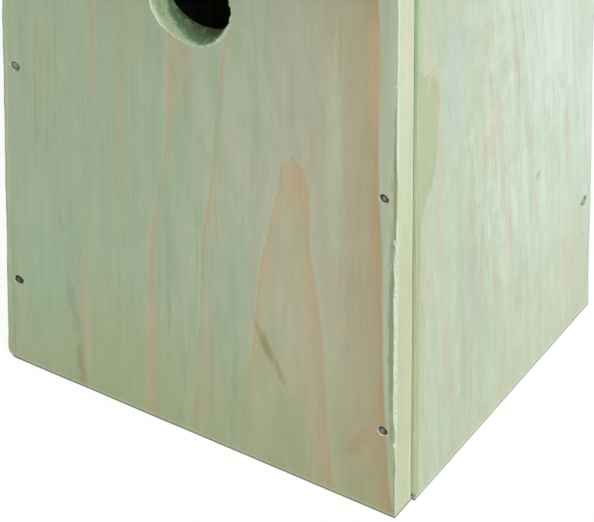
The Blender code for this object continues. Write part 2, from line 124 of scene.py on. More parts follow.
class Wiring:
    """A node tree in the making, with short calls for the nodes that the finishes use."""

    def __init__(self, tree: bpy.types.NodeTree) -> None:
        """Takes the tree that the nodes go into."""
        self.tree = tree

    def feed(self, socket: Socket, value: Value) -> None:
        """Links a socket into another, or sets its own value."""
        if isinstance(value, Socket):
            self.tree.links.new(value, socket)
        else:
            socket.default_value = value

    def node(self, kind: str, inputs: dict[str | int, Value], **settings: object) -> bpy.types.Node:
        """Adds a node.

        Args:
            kind: Blender's name for the shader node, after its first word.
            inputs: values or sockets by input name or number.
            settings: the node's own properties.

        Returns:
            The node.
        """
        made = self.tree.nodes.new("ShaderNode" + kind)
        for name, value in settings.items():
            setattr(made, name, value)
        for key, value in inputs.items():
            self.feed(made.inputs[key], value)
        return made

    def calc(self, operation: str, *values: Value) -> Socket:
        """One Math node."""
        return self.node("Math", dict(enumerate(values)), operation=operation).outputs[0]

    def minus(self, first: Value, second: Value) -> Socket:
        """The difference of two values."""
        return self.calc("SUBTRACT", first, second)

    def times(self, first: Value, second: Value) -> Socket:
        """The product of two values."""
        return self.calc("MULTIPLY", first, second)

    def over(self, first: Value, second: Value) -> Socket:
        """One value divided by another."""
        return self.calc("DIVIDE", first, second)

    def times_plus(self, first: Value, second: Value, rest: Value) -> Socket:
        """The product of two values, and a third added to it."""
        return self.calc("MULTIPLY_ADD", first, second, rest)

    def sway(self, wave: Socket, amount: float, value: Value) -> Socket:
        """A value that noise pushes to both sides, by the amount at most."""
        return self.times_plus(self.minus(wave, MIDDLE), amount, value)

    def squares(self, first: Socket, second: Socket) -> Socket:
        """The sum of two squares."""
        return self.times_plus(first, first, self.times(second, second))

    def step(self, value: Value, low: Value, high: Value, start: Value = 0.0, end: Value = 1.0) -> Socket:
        """A smooth step from one value to another as the input goes from low to high."""
        inputs = {"Value": value, "From Min": low, "From Max": high, "To Min": start, "To Max": end}
        return self.node("MapRange", inputs, interpolation_type="SMOOTHSTEP").outputs["Result"]

    def blend(self, share: Value, first: Value, second: Value, way: str = "MIX") -> Socket:
        """Mixes two colours."""
        inputs = {0: share, 6: first, 7: second}
        return self.node("Mix", inputs, data_type="RGBA", blend_type=way).outputs[2]

    def shaded(self, colour: Socket, shade: Socket) -> Socket:
        """A colour made lighter or darker by a share."""
        grey = self.node("CombineColor", {0: shade, 1: shade, 2: shade}).outputs[0]
        return self.blend(1.0, colour, grey, "MULTIPLY")

    def stretch(self, place: Socket, scale: tuple, shift: Value = (0, 0, 0)) -> Socket:
        """Scales a place and shifts it."""
        inputs = {0: place, 1: scale, 2: shift}
        return self.node("VectorMath", inputs, operation="MULTIPLY_ADD").outputs[0]

    def noise(self, place: Socket, detail: float = 2.0, rough: float = 0.5, twist: float = 0.0) -> Socket:
        """Noise from 0 to 1 with features one unit apart."""
        inputs = {"Vector": place, "Scale": 1.0, "Detail": detail, "Roughness": rough, "Distortion": twist}
        return self.node("TexNoise", inputs).outputs[0]

    def grain(
        self, place: Socket, across: float, along: float,
        detail: float, rough: float = 0.5, shift: Value = (0, 0, 0),
    ) -> Socket:
        """Noise drawn out along the grain."""
        return self.noise(self.stretch(place, (across, across, along), shift), detail, rough)

    def split(self, place: Socket) -> tuple[Socket, Socket, Socket]:
        """The three parts of a vector."""
        return tuple(self.node("SeparateXYZ", {0: place}).outputs)

    def place(self, across: Value, depth: Value, along: Value) -> Socket:
        """A place from its three parts."""
        return self.node("CombineXYZ", {0: across, 1: depth, 2: along}).outputs[0]

    def millimetres(self) -> Socket:
        """Place on the object in millimetres."""
        return self.stretch(self.node("TexCoord", {}).outputs["Object"], PER_METRE)

    def worn(self) -> Socket:
        """The wear attribute."""
        return self.node("Attribute", {}, attribute_name=WEAR).outputs["Fac"]

    def curve(self, value: Value, points: Points) -> Socket:
        """A free curve through points in the unit square."""
        node = self.node("FloatCurve", {"Value": value})
        line = node.mapping.curves[0].points
        line[0].location = points[0]
        line[1].location = points[-1]
        for point in points[1:-1]:
            line.new(*point)
        node.mapping.update()
        return node.outputs[0]

    def use(self, effect: type["Effect"], values: object = None, **inputs: Value) -> Sockets:
        """Places an effect's node group.

        Args:
            effect: the effect.
            values: what the inputs that have its fields' names are set from.
            inputs: further inputs, by name in small letters.

        Returns:
            The group's outputs.
        """
        node = self.node("Group", {}, node_tree=effect.tree())
        for socket in node.inputs:
            field = socket.name.lower().replace(" ", "_")
            value = inputs.get(field, getattr(values, field, None))
            if value is not None:
                self.feed(socket, value)
        return node.outputs


class Effect:
    """A shader node group that several finishes share, made on first use."""

    name = "effect"
    inputs: dict[str, Value] = {}
    outputs: tuple[str, ...] = ()

    @classmethod
    def tree(cls) -> bpy.types.NodeTree:
        """The node group, built if it isn't there yet."""
        known = bpy.data.node_groups.get(cls.name)
        if known:
            return known
        tree = bpy.data.node_groups.new(cls.name, "ShaderNodeTree")
        for label, default in cls.inputs.items():
            kind = "NodeSocketVector" if isinstance(default, tuple) else "NodeSocketFloat"
            socket = tree.interface.new_socket(name=label, in_out="INPUT", socket_type=kind)
            socket.default_value = default
        for label in cls.outputs:
            tree.interface.new_socket(name=label, in_out="OUTPUT", socket_type="NodeSocketFloat")
        wiring = Wiring(tree)
        given = tree.nodes.new("NodeGroupInput").outputs
        results = cls.wire(wiring, given)
        last = tree.nodes.new("NodeGroupOutput")
        for label, value in zip(cls.outputs, results):
            wiring.feed(last.inputs[label], value)
        return tree

    @staticmethod
    def wire(wiring: Wiring, given: Sockets) -> Results:
        """Lays the group's nodes and returns its results in the order of outputs."""
        raise NotImplementedError


class GrowthRings(Effect):
    """Growth rings about a pith line, with the fibres and streaks that run along the grain."""

    name = "growth_rings"
    inputs = {
        "Place": (0.0, 0.0, 0.0),
        "Pith Across": 0.0,
        "Pith Depth": 20.0,
        "Lean Across": 0.0,
        "Lean Depth": 0.05,
        "Ring Width": 4.0,
        "Waver": 4.0,
        "Slant": 0.0,
        "Bow": 0.0,
        "Run": 1.0,
        "Seed": 0.0,
    }
    outputs = ("Latewood", "Fibre", "Streak", "Ribbon", "Hairline", "Cloud", "Mottle")

    @staticmethod
    def wire(wiring: Wiring, given: Sockets) -> Results:
        """Rings are saw-toothed: earlywood darkens slowly outwards and the latewood ends sharply."""
        place = given["Place"]
        across, depth, along = wiring.split(place)
        seed = given["Seed"]
        shift = wiring.stretch(wiring.place(seed, seed, seed), (37.1, 11.7, 5.3))
        slow = wiring.grain(place, 0.022, 0.0048, 2.0, shift=shift)
        quick = wiring.grain(place, 0.11, 0.014, 2.0, shift=shift)
        from_pith = wiring.minus(across, given["Pith Across"])
        from_pith = wiring.minus(from_pith, wiring.times(along, given["Lean Across"]))
        deep = wiring.minus(depth, given["Pith Depth"])
        deep = wiring.minus(deep, wiring.times(along, given["Lean Depth"]))
        radius = wiring.calc("SQRT", wiring.squares(deep, from_pith))
        sway = wiring.times_plus(quick, 0.3, slow)
        radius = wiring.times_plus(sway, given["Waver"], radius)
        phase = wiring.over(radius, given["Ring Width"])
        spacing = wiring.place(wiring.times(phase, 0.31), seed, 0.0)
        phase = wiring.times_plus(wiring.noise(spacing, 1.0), 1.6, phase)
        part = wiring.calc("FRACT", phase)
        count = wiring.calc("ADD", wiring.calc("FLOOR", phase), seed)
        year = wiring.node("TexWhiteNoise", {"W": count}, noise_dimensions="1D").outputs["Value"]
        rise = wiring.step(part, 0.3, 0.93)
        end = wiring.step(part, 0.94, 1.0, 1.0, 0.0)
        strength = wiring.step(year, 0.0, 1.0, 0.3)
        latewood = wiring.times(wiring.times(rise, end), strength)
        course = wiring.times_plus(along, given["Bow"], given["Slant"])
        course = wiring.times_plus(course, along, across)
        short = wiring.times(along, given["Run"])
        bent = wiring.place(wiring.times_plus(sway, given["Waver"], course), depth, short)
        fibre = wiring.grain(bent, 1.5, 0.05, 4.0, 0.6, shift=shift)
        streak = wiring.grain(bent, 0.3, 0.012, 3.0, 0.6, shift=shift)
        ribbon = wiring.grain(bent, 0.12, 0.005, 2.0, 0.5, shift=shift)
        hairline = wiring.grain(bent, 0.8, 0.011, 2.0, 0.5, shift=shift)
        crest = wiring.calc("ABSOLUTE", wiring.minus(hairline, MIDDLE))
        hairline = wiring.step(crest, 0.0, 0.03, 1.0, 0.0)
        cloud = wiring.grain(place, 0.03, 0.014, 3.0, 0.55, shift=shift)
        mottle = wiring.grain(bent, 0.2, 0.06, 3.0, 0.6, shift=shift)
        return latewood, fibre, streak, ribbon, hairline, cloud, mottle


class RingEdge(Effect):
    """The dark side of one growth ring's edge, from the distance inside it."""

    name = "ring_edge"
    inputs = {"Gap": 0.0, "Softness": 0.5, "Fade": 4.0, "Strength": 1.0}
    outputs = ("Mask", "Pale")

    @staticmethod
    def wire(wiring: Wiring, given: Sockets) -> Results:
        """Sharp on the outer side, where the next year's wood is palest, and fading out on the other."""
        gap = given["Gap"]
        sharp = wiring.step(gap, wiring.times(given["Softness"], -1.0), given["Softness"])
        tail = wiring.over(wiring.calc("MAXIMUM", gap, 0.0), given["Fade"])
        tail = wiring.calc("EXPONENT", wiring.times(tail, -1.0))
        mask = wiring.times(wiring.times(sharp, tail), given["Strength"])
        outside = wiring.times(wiring.calc("MINIMUM", gap, 0.0), 0.7)
        pale = wiring.times(wiring.calc("EXPONENT", outside), wiring.minus(1.0, sharp))
        return mask, wiring.times(pale, given["Strength"])


class Spot(Effect):
    """A soft oval mark that may lean, with a ragged edge."""

    name = "spot"
    inputs = {
        "Place": (0.0, 0.0, 0.0),
        "Across": 0.0,
        "Along": 0.0,
        "Half Width": 2.0,
        "Half Length": 20.0,
        "Lean": 0.0,
        "Ragged": 0.3,
    }
    outputs = ("Mask",)

    @staticmethod
    def wire(wiring: Wiring, given: Sockets) -> Results:
        """Distance from the mark's middle, in shares of its half width and half length."""
        across, _, along = wiring.split(given["Place"])
        up = wiring.minus(along, given["Along"])
        over = wiring.minus(across, given["Across"])
        over = wiring.minus(over, wiring.times(up, given["Lean"]))
        over = wiring.over(over, given["Half Width"])
        up = wiring.over(up, given["Half Length"])
        far = wiring.calc("SQRT", wiring.squares(over, up))
        rough = wiring.grain(given["Place"], 0.8, 0.12, 3.0, 0.6)
        rough = wiring.times(wiring.minus(rough, MIDDLE), given["Ragged"])
        far = wiring.times_plus(rough, 4.0, far)
        return (wiring.step(far, 0.35, 1.0, 1.0, 0.0),)


class KnotSwirl(Effect):
    """A branch cut through by the board, which the grain flows round."""

    name = "knot_swirl"
    inputs = {"Place": (0.0, 0.0, 0.0), "Across": 0.0, "Along": 0.0, "Radius": 4.0}
    outputs = ("Shift", "Core", "Rim", "Halo")

    @staticmethod
    def wire(wiring: Wiring, given: Sockets) -> Results:
        """Shift pushes the grain aside, core is the branch with its rings, rim its bark and halo its burr."""
        across, _, along = wiring.split(given["Place"])
        over = wiring.minus(across, given["Across"])
        up = wiring.times(wiring.minus(along, given["Along"]), 0.8)
        rough = wiring.grain(given["Place"], 0.3, 0.22, 2.0, 0.6)
        rough = wiring.minus(rough, MIDDLE)
        far = wiring.calc("SQRT", wiring.squares(over, up))
        far = wiring.over(wiring.times_plus(rough, 1.8, far), given["Radius"])
        slim = wiring.times(up, 0.45)
        wide = wiring.squares(over, slim)
        wide = wiring.over(wide, wiring.times(given["Radius"], given["Radius"]))
        pull = wiring.calc("EXPONENT", wiring.times(wide, -0.16))
        shift = wiring.times(wiring.times(over, pull), 0.85)
        rings = wiring.calc("SINE", wiring.times_plus(far, 13.0, wiring.times(rough, 9.0)))
        inside = wiring.step(far, 0.85, 1.08, 1.0, 0.0)
        core = wiring.times(inside, wiring.times_plus(rings, 0.1, 0.72))
        edge = wiring.calc("ABSOLUTE", wiring.minus(far, 1.0))
        broken = wiring.grain(given["Place"], 0.5, 0.5, 2.0, 0.6)
        rim = wiring.times(wiring.step(edge, 0.02, 0.14, 1.0, 0.0), wiring.step(broken, 0.35, 0.6))
        return shift, core, rim, wiring.step(far, 0.9, 2.2, 1.0, 0.0)


class Speckle(Effect):
    """Fine grit and soft blooms for metal, in shares from 0 to 1."""

    name = "speckle"
    inputs = {"Place": (0.0, 0.0, 0.0), "Size": 1.0}
    outputs = ("Grit", "Bloom")

    @staticmethod
    def wire(wiring: Wiring, given: Sockets) -> Results:
        """Grit follows the size given, and bloom is eight times coarser."""
        sized = wiring.node("VectorMath", {0: given["Place"], 3: given["Size"]}, operation="SCALE")
        fine = wiring.noise(sized.outputs[0], 5.0, 0.7)
        coarse = wiring.noise(wiring.stretch(sized.outputs[0], (0.125, 0.125, 0.125)), 3.0, 0.55)
        return fine, coarse


def new_material(name: str) -> tuple[Material, Wiring, bpy.types.Node]:
    """A material with its wiring and its Principled shader."""
    material = bpy.data.materials.new(name)
    material.use_nodes = True
    return material, Wiring(material.node_tree), material.node_tree.nodes["Principled BSDF"]


def dress(
    wiring: Wiring, surface: bpy.types.Node, colour: Value, rough: Value,
    height: Socket, gloss: float, depth: float = MM,
) -> None:
    """Feeds the shader of a finish.

    Args:
        wiring: the material's wiring.
        surface: its Principled shader.
        colour, rough: base colour and roughness.
        height: relief, in shares of its depth.
        gloss: specular level.
        depth: depth of the relief.
    """
    bump = wiring.node("Bump", {"Height": height, "Distance": depth, "Strength": 1.0})
    for name, value in (("Base Color", colour), ("Roughness", rough), ("Normal", bump.outputs[0])):
        wiring.feed(surface.inputs[name], value)
    surface.inputs["Specular IOR Level"].default_value = gloss


def board_place(wiring: Wiring, origin: Vector, turn: Euler) -> Socket:
    """Place on a board in millimetres: across its face, into it, and along its grain."""
    coordinates = wiring.node("TexCoord", {}).outputs["Object"]
    inputs = {"Vector": coordinates, "Location": origin, "Rotation": turn, "Scale": (MM, MM, MM)}
    return wiring.node("Mapping", inputs, vector_type="TEXTURE").outputs[0]


def board_turn(across: Vector, inward: Vector, along: Vector) -> Euler:
    """The rotation of a board whose face runs across and along, with its thickness going inward."""
    return Matrix((across, inward, along)).transposed().to_euler()


# Finishes

KNOT_BROWN = seen(160, 134, 94)
MOTTLE_SHARE = 0.03


@dataclass(frozen=True)
class Sawing:
    """How a board lies in its log: where the pith is, in board millimetres, and how wide the rings are."""

    pith_across: float
    pith_depth: float
    lean_across: float
    lean_depth: float
    ring_width: float
    waver: float
    contrast: float
    seed: float
    slant: float = 0.0
    bow: float = 0.0
    run: float = 1.0


class Cut(Enum):
    """The boards' sawings."""

    FRONT = Sawing(34, 22, 0.0, -0.055, 5.2, 5, 0.16, 3.0)
    RIGHT_SIDE = Sawing(-95, 140, -0.05, 0.03, 5.5, 9, 0.2, 8.0, 0.025, 0.00022, 2.0)
    LEFT_SIDE = Sawing(48, 30, 0.03, 0.05, 6.5, 8, 0.4, 12.0, -0.02)
    BACK = Sawing(-12, 26, -0.02, -0.06, 6.0, 7, 0.45, 17.0, 0.01)
    FLOOR = Sawing(70, 40, 0.0, 0.03, 5.0, 6, 0.4, 23.0)
    LID = Sawing(88, 24, -0.02, 0.07, 6.5, 8, 0.42, 31.0, 0.03)


@dataclass(frozen=True)
class RingLine:
    """One growth ring's edge on a board's face, as (height, across) points in millimetres.

    The latewood lies to the right of the left course, or to the left of the right one. With both, the ring
    is a flame that closes where they cross, and its left edge fades faster by left_haste.
    """

    left: Points
    right: Points
    fade: float
    strength: float
    colour: Colour
    softness: float = 0.45
    left_haste: float = 1.0
    jagged: float = 16.0


@dataclass(frozen=True)
class Mark:
    """A streak or spot in the wood, in board millimetres."""

    across: float
    along: float
    half_width: float
    half_length: float
    lean: float
    strength: float
    colour: Colour
    ragged: float = 0.3


@dataclass(frozen=True)
class Knot:
    """A knot, in board millimetres."""

    across: float
    along: float
    radius: float
    strength: float = 0.8


@dataclass(frozen=True)
class Pine:
    """Planed pine, green from its pressure treatment.

    The base colour goes from cool to warm across the board and towards low at its foot. Latewood is the
    colour of ring edges, tinge that of the broad ribbons along the grain, pale that of the wood next to a
    ring's edge and of a painted highlight line just above the foot, mint that of the greenest ribbons, edge
    that of the narrow face beyond edge_from, and fresh and soil those of worn
    arrises past and before fresh_from: worn bare wood on most boards; on the front board, a painted
    highlight on its near arris and painted shade on its other arrises. Soil_and_shade also darkens end
    grain and the knots' rims, and paints a shade line along the foot.
    """

    name: str
    origin: Vector
    turn: Euler
    cut: Cut
    cool: Colour
    warm: Colour
    low: Colour
    latewood: Colour
    tinge: Colour
    pale: Colour
    mint: Colour
    edge: Colour
    edge_tinge: Colour
    fresh: Colour
    soil: Colour
    warm_from: float
    warm_to: float
    low_from: float
    low_to: float
    lines: tuple[RingLine, ...] = ()
    marks: tuple[Mark, ...] = ()
    knots: tuple[Knot, ...] = ()
    edge_from: float = 500.0
    fresh_from: float = -500.0
    foot_share: float = 0.75
    end_share: float = 0.55
    fibre_share: float = 0.06
    streak_share: float = 0.035
    tinge_share: float = 0.25
    mint_share: float = 0.3
    hairline_share: float = 0.1
    wear_share: float = 0.45
    ring_from: float = -500.0
    ring_to: float = -400.0
    length: float = 350.0
    reach: float = 100.0
    fibre_depth: float = 0.07

    def material(self) -> Material:
        """The board's material."""
        material, wiring, surface = new_material(self.name)
        place = board_place(wiring, self.origin, self.turn)
        across, depth, along = wiring.split(place)
        swirls = []
        for knot in self.knots:
            swirl = wiring.use(KnotSwirl, knot, place=place)
            swirls.append((knot, swirl))
            across = wiring.minus(across, swirl["Shift"])
        if swirls:
            place = wiring.place(across, depth, along)
        sawing = self.cut.value
        rings = wiring.use(GrowthRings, sawing, place=place)
        fibre, streak, cloud, mottle = rings["Fibre"], rings["Streak"], rings["Cloud"], rings["Mottle"]
        drift = wiring.sway(mottle, 80.0, wiring.sway(streak, 55.0, wiring.sway(cloud, 90.0, across)))
        colour = wiring.blend(wiring.step(drift, self.warm_from, self.warm_to), self.cool, self.warm)
        sink = wiring.sway(cloud, 90.0, along)
        colour = wiring.blend(wiring.step(sink, self.low_from, self.low_to, 0.8, 0.0), colour, self.low)
        ribbon = wiring.step(rings["Ribbon"], 0.46, 0.66, 0.0, self.tinge_share)
        colour = wiring.blend(ribbon, colour, self.tinge)
        green = wiring.calc("ADD", rings["Ribbon"], streak)
        colour = wiring.blend(wiring.step(green, 0.74, 0.9, self.mint_share, 0.0), colour, self.mint)
        clear = sawing.contrast
        if self.ring_to > -self.reach:
            clear = wiring.step(across, self.ring_from, self.ring_to, clear, 0.12 * clear)
        latewood = wiring.times(rings["Latewood"], clear)
        colour = wiring.blend(latewood, colour, self.latewood)
        wobble = wiring.sway(fibre, 1.1, across)
        jag = wiring.minus(wiring.noise(wiring.stretch(place, (0.45, 0.1, 0.004)), 2.0, 0.6), MIDDLE)
        for line in self.lines:
            ragged = wiring.times_plus(jag, line.jagged, along)
            colour = self.ring_line(wiring, line, wobble, ragged, streak, colour)
        for mark in self.marks:
            mask = wiring.use(Spot, mark, place=place)["Mask"]
            colour = wiring.blend(wiring.times(mask, mark.strength), colour, mark.colour)
        if self.edge_from < self.reach:
            colour = self.narrow_face(wiring, place, streak, colour)
        for knot, swirl in swirls:
            layers = (("Halo", 0.3, self.latewood), ("Core", knot.strength, KNOT_BROWN))
            for name, strength, over in (*layers, ("Rim", 0.7 * knot.strength, self.soil)):
                colour = wiring.blend(wiring.times(swirl[name], strength), colour, over)
        facing = {0: wiring.node("TexCoord", {}).outputs["Normal"], 1: self.turn.to_matrix() @ Z_AXIS}
        facing = wiring.node("VectorMath", facing, operation="DOT_PRODUCT").outputs["Value"]
        cut_end = wiring.step(wiring.calc("ABSOLUTE", facing), 0.35, 0.85)
        ring_arc = wiring.times_plus(rings["Latewood"], 0.5, self.end_share)
        end_grain = wiring.blend(0.5, self.soil, self.low)
        colour = wiring.blend(wiring.times(cut_end, ring_arc), colour, end_grain)
        # Painted highlight: a pale line just above the foot.
        above = wiring.step(along, 1.4, 2.4, 0.6 * self.foot_share, 0.0)
        colour = wiring.blend(above, colour, self.pale)
        shade = wiring.step(fibre, 0.25, 0.75, 1.0 - self.fibre_share * 0.6, 1.0 + self.fibre_share * 0.4)
        for wave, share in ((streak, self.streak_share), (mottle, MOTTLE_SHARE)):
            shade = wiring.times(shade, wiring.step(wave, 0.25, 0.75, 1 - share, 1 + share))
        hairline = wiring.times(rings["Hairline"], wiring.step(cloud, 0.4, 0.62))
        shade = wiring.times(shade, wiring.step(hairline, 0.0, 1.0, 1.0, 1.0 - self.hairline_share))
        colour = wiring.shaded(colour, shade)
        grit = wiring.grain(place, 1.6, 0.35, 3.0, 0.6)
        worn = wiring.calc("ADD", wiring.worn(), wiring.times(wiring.minus(grit, MIDDLE), 0.7))
        worn = wiring.step(worn, 0.75, 1.2)
        # Worn arrises: on the front board, painted shade before fresh_from and a painted highlight on the
        # near arris past it; on the other boards, worn bare wood.
        bare = wiring.step(across, self.fresh_from - 0.3, self.fresh_from + 0.1)
        bare = wiring.blend(bare, self.soil, self.fresh)
        colour = wiring.blend(wiring.times(worn, self.wear_share), colour, bare)
        # Painted shade: a dark line along the board's foot, where its arris turns under.
        foot = wiring.step(along, 0.65, 0.95, self.foot_share, 0.0)
        colour = wiring.blend(foot, colour, self.soil)
        height = wiring.times_plus(rings["Latewood"], 0.05, wiring.times(fibre, self.fibre_depth))
        height = wiring.times_plus(wiring.times(worn, grit), 0.3, height)
        dress(wiring, surface, colour, wiring.step(fibre, 0.2, 0.8, 0.6, 0.78), height, 0.3)
        return material

    def narrow_face(self, wiring: Wiring, place: Socket, streak: Socket, colour: Socket) -> Socket:
        """The board's narrow face past edge_from: its own colour, with painted highlights along both arrises,
        and paler towards the top.
        """
        across, depth, along = wiring.split(place)
        share = wiring.step(along, 120, 200, 0.4, 1.1)
        share = wiring.times(wiring.step(streak, 0.4, 0.62, 0.2, 0.9), share)
        centre = wiring.times(wiring.step(depth, 3.0, 5.5), wiring.step(depth, 7.5, 9.0, 1.0, 0.0))
        inner = wiring.blend(wiring.times(share, centre), self.edge, self.edge_tinge)
        inner = wiring.blend(wiring.step(along, 80, 190, 0.0, 0.35), inner, self.fresh)
        # Painted highlights along both arrises of the narrow face.
        wander = wiring.sway(streak, 2.5, wiring.calc("ABSOLUTE", wiring.minus(depth, 5.0)))
        inner = wiring.blend(wiring.step(wander, 3.4, 4.4, 0.0, 0.6), inner, self.fresh)
        return wiring.blend(wiring.step(across, self.edge_from, self.edge_from + 0.2), colour, inner)

    def ring_line(
        self, wiring: Wiring, line: RingLine, across: Socket, along: Socket, streak: Socket, colour: Socket
    ) -> Socket:
        """Lays one ring's dark edge over the colour.

        Args:
            wiring: the material's wiring.
            line: the ring's edge.
            across, along: place on the board.
            streak: noise that varies the ring's strength.
            colour: what lies under it.

        Returns:
            The colour with the ring's edge in it.
        """
        gaps = []
        for course, sign in ((line.left, line.left_haste), (line.right, -1.0)):
            if course:
                edge = self.course(wiring, course, along)
                gaps.append(wiring.times(wiring.minus(across, edge), sign))
        gap = wiring.calc("MINIMUM", gaps[0], gaps[-1])
        ring = wiring.use(RingEdge, line, gap=gap)
        colour = wiring.blend(wiring.times(ring["Pale"], 0.3), colour, self.pale)
        mask = wiring.times(ring["Mask"], wiring.step(streak, 0.2, 0.65, 0.55, 1.1))
        return wiring.blend(mask, colour, line.colour)

    def course(self, wiring: Wiring, points: Points, along: Socket) -> Socket:
        """Place across the board of a line, at each height."""
        unit = tuple((up / self.length, MIDDLE + side / (2 * self.reach)) for up, side in points)
        share = wiring.curve(wiring.over(along, self.length), unit)
        return wiring.times(wiring.minus(share, MIDDLE), 2 * self.reach)


@dataclass(frozen=True)
class SawnPine:
    """Sawn, drilled, crushed or torn pine, where broken fibres stand up."""

    name: str
    pale: Colour
    deep: Colour

    def material(self) -> Material:
        """The material, pale on its tufts and deep between them."""
        material, wiring, surface = new_material(self.name)
        place = wiring.millimetres()
        tuft = wiring.noise(wiring.stretch(place, (1.3, 0.45, 1.3)), 4.0, 0.7, 0.6)
        band = wiring.noise(wiring.stretch(place, (0.16, 0.5, 0.1)), 3.0, 0.55)
        share = wiring.sway(tuft, 1.6, band)
        colour = wiring.blend(wiring.step(share, 0.3, 0.75), self.deep, self.pale)
        height = wiring.times_plus(band, 0.3, wiring.times(tuft, 0.5))
        dress(wiring, surface, colour, wiring.step(tuft, 0.2, 0.8, 0.8, 0.92), height, 0.2)
        return material


@dataclass(frozen=True)
class BoredPine:
    """The wall of the entrance, with painted light: a painted highlight at its worn lip, and painted shade
    deeper into the box and towards its lower right.
    """

    name: str
    centre: Vector
    radius: float
    # lip and worn: colours of the painted highlight along the lip; teal and deep: colours of the painted
    # shade on the wall's lower right and deep inside.
    lip: Colour
    wall: Colour
    worn: Colour
    tan: Colour
    mid: Colour
    teal: Colour
    deep: Colour

    def material(self) -> Material:
        """The material of the entrance's bore."""
        material, wiring, surface = new_material(self.name)
        place = board_place(wiring, self.centre, board_turn(X_AXIS, Y_AXIS, Z_AXIS))
        across, depth, along = wiring.split(place)
        tuft = wiring.noise(wiring.stretch(place, (0.55, 0.3, 0.4)), 3.0, 0.6, 0.4)
        fine = wiring.noise(wiring.stretch(place, (1.6, 0.7, 1.6)), 3.0, 0.65)
        # foot grows towards the lower right of the bore, the side that is painted in shade.
        foot = wiring.over(wiring.minus(across, along), self.radius)
        into = wiring.sway(tuft, 6.0, depth)
        # Painted shade: the lower right of the wall darkens from near the lip, and the whole wall darkens
        # deep in the bore.
        low = wiring.times_plus(foot, 4.6, into)
        painted_shade = wiring.calc("MAXIMUM", wiring.step(low, 5.0, 7.2), wiring.step(into, 7.3, 9.2, 0.0, 0.75))
        dark = wiring.blend(wiring.step(low, 7.5, 12.5), self.teal, self.deep)
        colour = wiring.blend(painted_shade, self.wall, dark)
        colour = wiring.blend(wiring.step(tuft, 0.5, 0.68, 0.0, 0.4), colour, self.mid)
        # Bands: the wall's own colour near the back edge, weaker on the shaded lower right; a tan band away
        # from the lower right; and the painted highlight at the lip, strongest on the left.
        bands = (
            (self.wall, wiring.step(into, 8.8, 9.6), wiring.step(foot, -0.6, 0.6, 0.8, 0.05)),
            (self.tan, self.tan_band(wiring, into), wiring.step(foot, 0.0, 0.9, 1.0, 0.0)),
            (self.lip, self.rim(wiring, tuft, depth), wiring.step(foot, -0.9, 0.6, 0.95, 0.15)),
        )
        for tint, band, share in bands:
            colour = wiring.blend(wiring.times(band, share), colour, tint)
        # Painted highlight: a thin pale line along the edge of the lip, in the wall colour on the left and
        # the worn colour on the lower right.
        line = wiring.times(wiring.step(depth, 0.3, 0.7, 0.85, 0.0), wiring.step(tuft, 0.36, 0.6, 0.15, 1.0))
        colour = wiring.blend(line, colour, wiring.blend(wiring.step(foot, -0.2, 0.8), self.wall, self.worn))
        shade = wiring.step(fine, 0.25, 0.75, 0.93, 1.06)
        colour = wiring.shaded(colour, wiring.times(wiring.step(tuft, 0.3, 0.7, 0.9, 1.1), shade))
        height = wiring.times_plus(tuft, 0.6, wiring.times(fine, 0.22))
        dress(wiring, surface, colour, wiring.step(fine, 0.2, 0.8, 0.78, 0.92), height, 0.2)
        return material

    def tan_band(self, wiring: Wiring, into: Socket) -> Socket:
        """The tan band a few millimetres in."""
        return wiring.times(wiring.step(into, 2.0, 2.8), wiring.step(into, 3.8, 4.8, 0.8, 0.0))

    def rim(self, wiring: Wiring, tuft: Socket, depth: Socket) -> Socket:
        """The ragged rim at the lip, where the painted highlight lies."""
        return wiring.step(wiring.sway(tuft, 4.0, depth), 0.9, 1.8, 1.0, 0.0)


@dataclass(frozen=True)
class Metal:
    """Plated or bare steel with fine grit and soft blooms."""

    name: str
    bright: Colour
    dull: Colour
    soiled: Colour
    roughness: tuple[float, float]
    grit_size: float
    dent: float = 0.00012

    def material(self) -> Material:
        """The material of the hardware, dirty where the wear attribute says so."""
        material, wiring, surface = new_material(self.name)
        place = wiring.millimetres()
        marks = wiring.use(Speckle, place=place, size=self.grit_size)
        share = wiring.sway(marks["Grit"], 0.7, marks["Bloom"])
        colour = wiring.blend(wiring.step(share, 0.3, 0.7), self.dull, self.bright)
        colour = wiring.blend(wiring.step(wiring.worn(), 0.0, 0.8, 0.0, 0.85), colour, self.soiled)
        rough = wiring.step(marks["Grit"], 0.3, 0.7, *self.roughness)
        height = wiring.times_plus(marks["Bloom"], 3.0, marks["Grit"])
        dress(wiring, surface, colour, rough, height, 0.5, self.dent)
        surface.inputs["Metallic"].default_value = 1.0
        return material


@dataclass(frozen=True)
class StudioFloor:
    """White floor: it keeps the object's shadow, softened where the camera sees it."""

    name: str = "studio_floor"
    lift: float = 0.9

    def material(self) -> Material:
        """The floor's material. From below it is clear."""
        material, wiring, surface = new_material(self.name)
        surface.inputs["Base Color"].default_value = (0.93, 0.93, 0.93, 1)
        surface.inputs["Roughness"].default_value = 0.9
        surface.inputs["Specular IOR Level"].default_value = 0.0
        camera = wiring.node("LightPath", {}).outputs["Is Camera Ray"]
        glow = wiring.node("Emission", {"Color": (1, 1, 1, 1), "Strength": 1.0}).outputs[0]
        share = wiring.times(camera, self.lift)
        lit = wiring.node("MixShader", {0: share, 1: surface.outputs[0], 2: glow}).outputs[0]
        under = wiring.node("NewGeometry", {}).outputs["Backfacing"]
        clear = wiring.node("BsdfTransparent", {}).outputs[0]
        mixed = wiring.node("MixShader", {0: under, 1: lit, 2: clear}).outputs[0]
        wiring.feed(material.node_tree.nodes["Material Output"].inputs["Surface"], mixed)
        return material


# Hand tools: selection and modelling in edit mode


class Pick(Enum):
    """What is selected in edit mode."""

    VERTS = "VERT"
    EDGES = "EDGE"
    FACES = "FACE"


